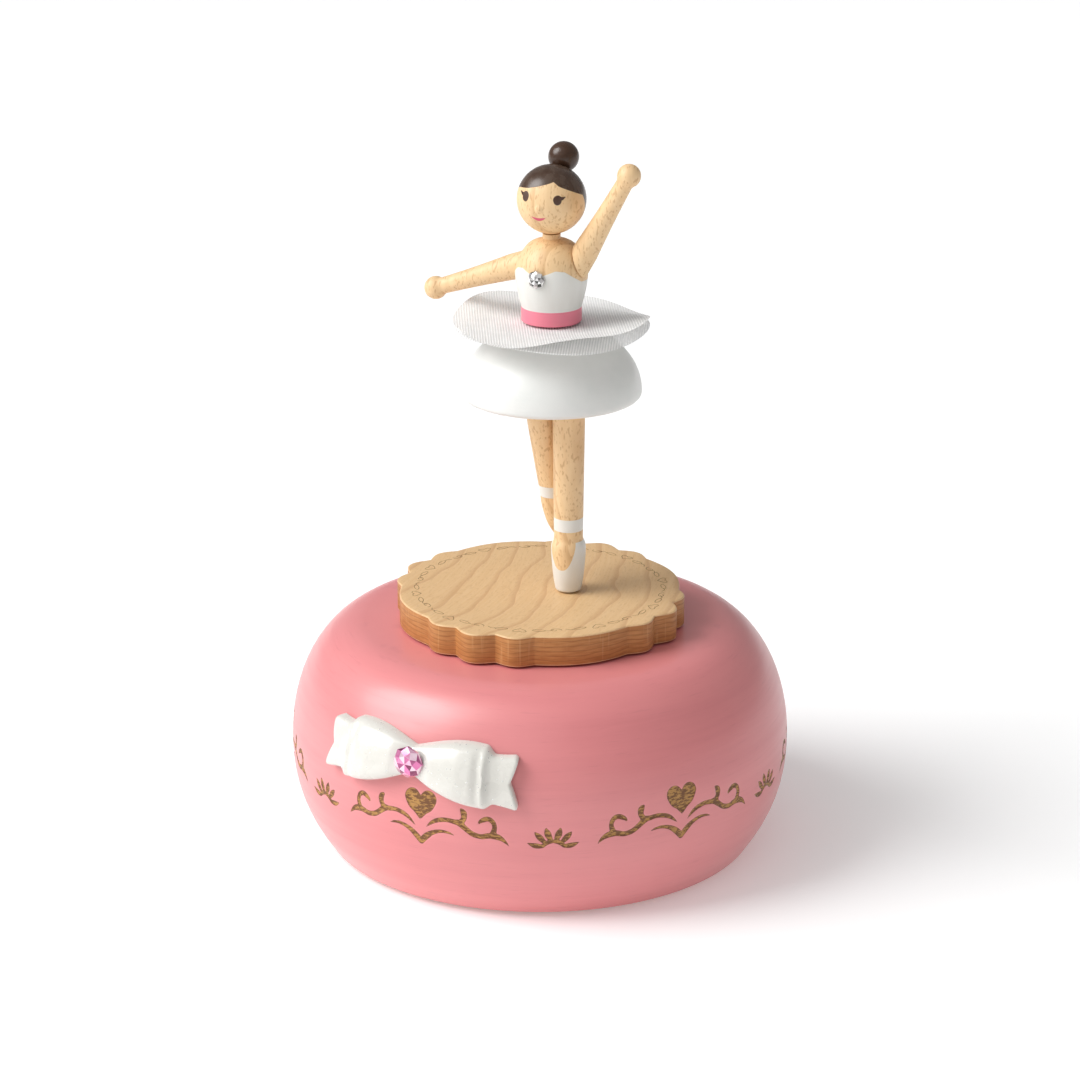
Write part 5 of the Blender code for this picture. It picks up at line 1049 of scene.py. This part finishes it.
def make_hair_paint():
    material, tree, shader = new_material("brown gloss paint")
    cloud = noise(tree, placed(tree), 260.0, detail=3.0)
    peel = noise(tree, placed(tree), 1700.0)
    colour = blend_colours(tree, cloud, HAIR, (0.070, 0.032, 0.017))
    set_shader(
        tree, shader, base_color=colour, roughness=ramp(tree, cloud, 0.2, 0.8, 0.22, 0.32),
        normal=bumped(tree, peel, 0.03 * MM),
    )
    return material


bm = bmesh.new()
bmesh.ops.create_uvsphere(
    bm, u_segments=72, v_segments=44, radius=BUN_RADIUS,
    matrix=Matrix.Translation(HEAD_CENTRE + bun_out * BUN_DISTANCE),
)
seat_depth = (HEAD_RADIUS**2 + BUN_DISTANCE**2 - BUN_RADIUS**2) / (2 * BUN_DISTANCE)
slice_flat(bm, HEAD_CENTRE + bun_out * (seat_depth + 0.05 * MM), -bun_out)
bmesh.ops.recalc_face_normals(bm, faces=bm.faces)
finish_piece("bun_painted", bm, "turntable", [make_hair_paint()], ["bun"], sharp=50)

# Underside: a birch plywood disc screwed into the rebate, and a foam pad glued to it, coloured near black as
# painted shadow in the gap under the base.


def make_plywood():
    material, tree, shader = new_material("birch plywood")
    grain = grained(
        tree, placed(tree, turn=(pi / 2, 0, 0.3)), ring_scale=140.0, fibre_scale=1100.0, fleck_scale=1500.0
    )
    split = add_node(tree, "ShaderNodeSeparateXYZ", {"Vector": placed(tree)})
    plies = maths(tree, "SINE", maths(tree, "MULTIPLY", split.outputs["Z"], 2 * pi * 1000))
    colour = blend_colours(tree, grain["Fibre"], (0.68, 0.49, 0.29), (0.57, 0.38, 0.20))
    colour = blend_colours(tree, maths(tree, "MULTIPLY", grain["Flecks"], 0.4), colour, (0.40, 0.24, 0.12))
    colour = blend_colours(tree, ramp(tree, plies, -1.0, 1.0, 0.0, 0.18), colour, (0.32, 0.18, 0.08))
    set_shader(
        tree, shader, base_color=colour, roughness=ramp(tree, grain["Fibre"], 0.2, 0.8, 0.5, 0.65),
        normal=bumped(tree, grain["Fibre"], 0.06 * MM),
    )
    return material


def make_speckled(name, dark, light, scale, rough, depth):
    """A soft, matt, pitted finish: foam or felt, darker in its pits as painted shade and with random fuzz in
    its tone.
    """
    material, tree, shader = new_material(name)
    cells = add_node(tree, "ShaderNodeTexVoronoi", {"Vector": placed(tree), "Scale": scale})
    pits = cells.outputs["Distance"]
    fuzz = noise(tree, placed(tree), scale * 0.6, detail=4.0)
    # Painted shade: the colour darkens where the bump height is low, in the pits, mixed half and half with
    # random fuzz tone.
    mixed = maths(tree, "ADD", maths(tree, "MULTIPLY", pits, 0.5), maths(tree, "MULTIPLY", fuzz, 0.5))
    set_shader(
        tree, shader, base_color=blend_colours(tree, ramp(tree, mixed, 0.2, 0.6), dark, light),
        roughness=ramp(tree, fuzz, 0.2, 0.8, rough - 0.08, rough), normal=bumped(tree, mixed, depth),
        sheen_weight=0.3,
    )
    return material


def metal_wear_group():
    """Fine rubbing marks and dull patches on metal: a rough mask and a height."""
    tree, given, out = new_group(
        "metal wear", {"Vector": None, "Scratch Scale": 900.0, "Patch Scale": 160.0},
        {"Dull": "NodeSocketFloat", "Height": "NodeSocketFloat"},
    )
    drawn = add_node(tree, "ShaderNodeMapping", {"Vector": given["Vector"], "Scale": (0.08, 1, 1)})
    scratch = noise(tree, drawn.outputs["Vector"], given["Scratch Scale"], detail=3.0)
    patch = noise(tree, given["Vector"], given["Patch Scale"])
    dull = maths(tree, "ADD", maths(tree, "MULTIPLY", scratch, 0.5), maths(tree, "MULTIPLY", patch, 0.5))
    tree.links.new(dull, out.inputs["Dull"])
    tree.links.new(scratch, out.inputs["Height"])
    return tree


metal_wear = metal_wear_group()


def make_metal(name, clean, tarnished, rough):
    material, tree, shader = new_material(name)
    wear = add_node(tree, "ShaderNodeGroup", node_tree=metal_wear)
    tree.links.new(placed(tree), wear.inputs["Vector"])
    dull = wear.outputs["Dull"]
    set_shader(
        tree, shader, base_color=blend_colours(tree, ramp(tree, dull, 0.4, 0.65), clean, tarnished),
        metallic=1.0, roughness=ramp(tree, dull, 0.3, 0.7, rough, rough + 0.18),
        normal=bumped(tree, wear.outputs["Height"], 0.01 * MM),
    )
    return material


def dress(nodes, material):
    """Give CAD pieces that already have the right shape their finish."""
    for name in nodes:
        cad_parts[name].data.materials.clear()
        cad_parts[name].data.materials.append(material)


steel = make_metal("turned steel", (0.58, 0.58, 0.59), (0.42, 0.42, 0.43), 0.22)
brass = make_metal("turned brass", (0.74, 0.54, 0.24), (0.55, 0.37, 0.15), 0.22)
zinc = make_metal("cast zinc", (0.52, 0.52, 0.53), (0.38, 0.38, 0.40), 0.4)
dress(["bottom_cover"], make_plywood())
# Painted shadow: the foot pad's near-black colour stands in for the shade of the thin gap under the base.
dress(
    ["foot_pad"],
    make_speckled("black foam", (0.012, 0.012, 0.012), (0.05, 0.05, 0.05), 2400.0, 0.95, 0.2 * MM),
)
dress(["glide_ring"], make_speckled("felt", (0.55, 0.50, 0.42), (0.78, 0.74, 0.66), 3200.0, 0.98, 0.15 * MM))
dress([f"cover_screw_{i}" for i in range(1, 5)], steel)

# Movement: zinc bedplate, governor and crown wheel, steel spring cup and comb, and a brass pinned cylinder.
dress(["bedplate", "governor_frame", "great_wheel"], zinc)
dress(["cylinder", "cylinder_gear", "drive_collar", "stage_hub"], brass)
dress(
    ["spring_cup", "cup_rivet_1", "cup_rivet_2", "comb_screw_1", "comb_screw_2", "governor_screw_1",
     "governor_screw_2", "bedplate_screw_1", "bedplate_screw_2", "bedplate_screw_3", "winding_arbor",
     "cylinder_shaft", "cylinder_pinion", "worm_wheel_pinion", "worm_shaft", "hub_screw_1", "hub_screw_2",
     "hub_screw_3", "foot_pin", "bun_pin", "left_arm_peg", "right_arm_peg"],
    steel,
)
dress(["comb"], make_metal("ground comb steel", (0.68, 0.68, 0.69), (0.50, 0.50, 0.51), 0.18))
dress(["mainspring"], make_metal("blued spring steel", (0.16, 0.20, 0.32), (0.10, 0.11, 0.15), 0.25))
dress(["air_fan"], make_metal("fan aluminium", (0.78, 0.78, 0.79), (0.62, 0.62, 0.63), 0.3))
dress(["waist_peg"], plain_beech)


def make_nylon():
    material, tree, shader = new_material("moulded nylon")
    cloud = noise(tree, placed(tree), 700.0, detail=3.0)
    colour = blend_colours(tree, cloud, (0.80, 0.77, 0.68), (0.70, 0.67, 0.58))
    set_shader(
        tree, shader, base_color=colour, roughness=ramp(tree, cloud, 0.2, 0.8, 0.35, 0.5),
        normal=bumped(tree, cloud, 0.02 * MM),
    )
    return material


dress(["worm_wheel"], make_nylon())

# Studio: a plain pale floor under soft light from the upper left, and a long lens.
LENS = 110
CAMERA_DISTANCE = 0.7878
CAMERA_ROUND = radians(27.1)
CAMERA_DOWN = radians(19.2)
AIM = Vector((0, 0, 0.0743))
FLOOR_GLOW = 0.21


def make_floor():
    material, tree, shader = new_material("pale paper")
    fibre = noise(tree, placed(tree), 60.0, detail=3.0)
    colour = blend_colours(tree, fibre, (0.93, 0.93, 0.93), (0.91, 0.91, 0.912))
    set_shader(
        tree, shader, base_color=colour, roughness=0.7, emission_color=(1.0, 1.0, 1.0, 1.0),
        emission_strength=FLOOR_GLOW,
    )
    return material


bm = bmesh.new()
bmesh.ops.create_circle(bm, cap_ends=True, segments=96, radius=8)
mesh = bpy.data.meshes.new("floor")
bm.to_mesh(mesh)
bm.free()
mesh.materials.append(make_floor())
floor = bpy.data.objects.new("floor", mesh)
bpy.context.scene.collection.objects.link(floor)

world = bpy.data.worlds.new("studio")
world.use_nodes = True
world.node_tree.nodes["Background"].inputs["Color"].default_value = (1, 1, 1, 1)
world.node_tree.nodes["Background"].inputs["Strength"].default_value = 0.34
bpy.context.scene.world = world


def soft_box(name, azimuth, elevation, distance, size, power):
    """A square softbox that faces the object. Azimuth 0 is in front, and + is towards +X."""
    light = bpy.data.lights.new(name, "AREA")
    light.shape = "SQUARE"
    light.size = size
    light.energy = power
    box = bpy.data.objects.new(name, light)
    a, e = radians(azimuth), radians(elevation)
    out = Vector((sin(a) * cos(e), -cos(a) * cos(e), sin(e)))
    box.location = AIM + out * distance
    box.rotation_euler = out.to_track_quat("Z", "Y").to_euler()
    bpy.context.scene.collection.objects.link(box)


def broad_sun(name, azimuth, elevation, softness, strength):
    """A far, very wide softbox, so that the floor is lit evenly out to its edge."""
    light = bpy.data.lights.new(name, "SUN")
    light.angle = radians(softness)
    light.energy = strength
    lamp = bpy.data.objects.new(name, light)
    a, e = radians(azimuth), radians(elevation)
    out = Vector((sin(a) * cos(e), -cos(a) * cos(e), sin(e)))
    lamp.rotation_euler = out.to_track_quat("Z", "Y").to_euler()
    bpy.context.scene.collection.objects.link(lamp)


broad_sun("key", -55, 38, 42, 2.35)
broad_sun("fill", -20, 45, 80, 0.38)
soft_box("window", -42, 52, 1.1, 0.55, 2.2)

lens = bpy.data.cameras.new("camera")
lens.lens = LENS
lens.sensor_width = 36
lens.clip_end = 20
camera = bpy.data.objects.new("camera", lens)
back = Vector((
    sin(CAMERA_ROUND) * cos(CAMERA_DOWN), -cos(CAMERA_ROUND) * cos(CAMERA_DOWN), sin(CAMERA_DOWN)
))
camera.location = AIM + back * CAMERA_DISTANCE
camera.rotation_euler = back.to_track_quat("Z", "Y").to_euler()
bpy.context.scene.collection.objects.link(camera)
bpy.context.scene.camera = camera
bpy.context.scene.view_settings.view_transform = "Standard"
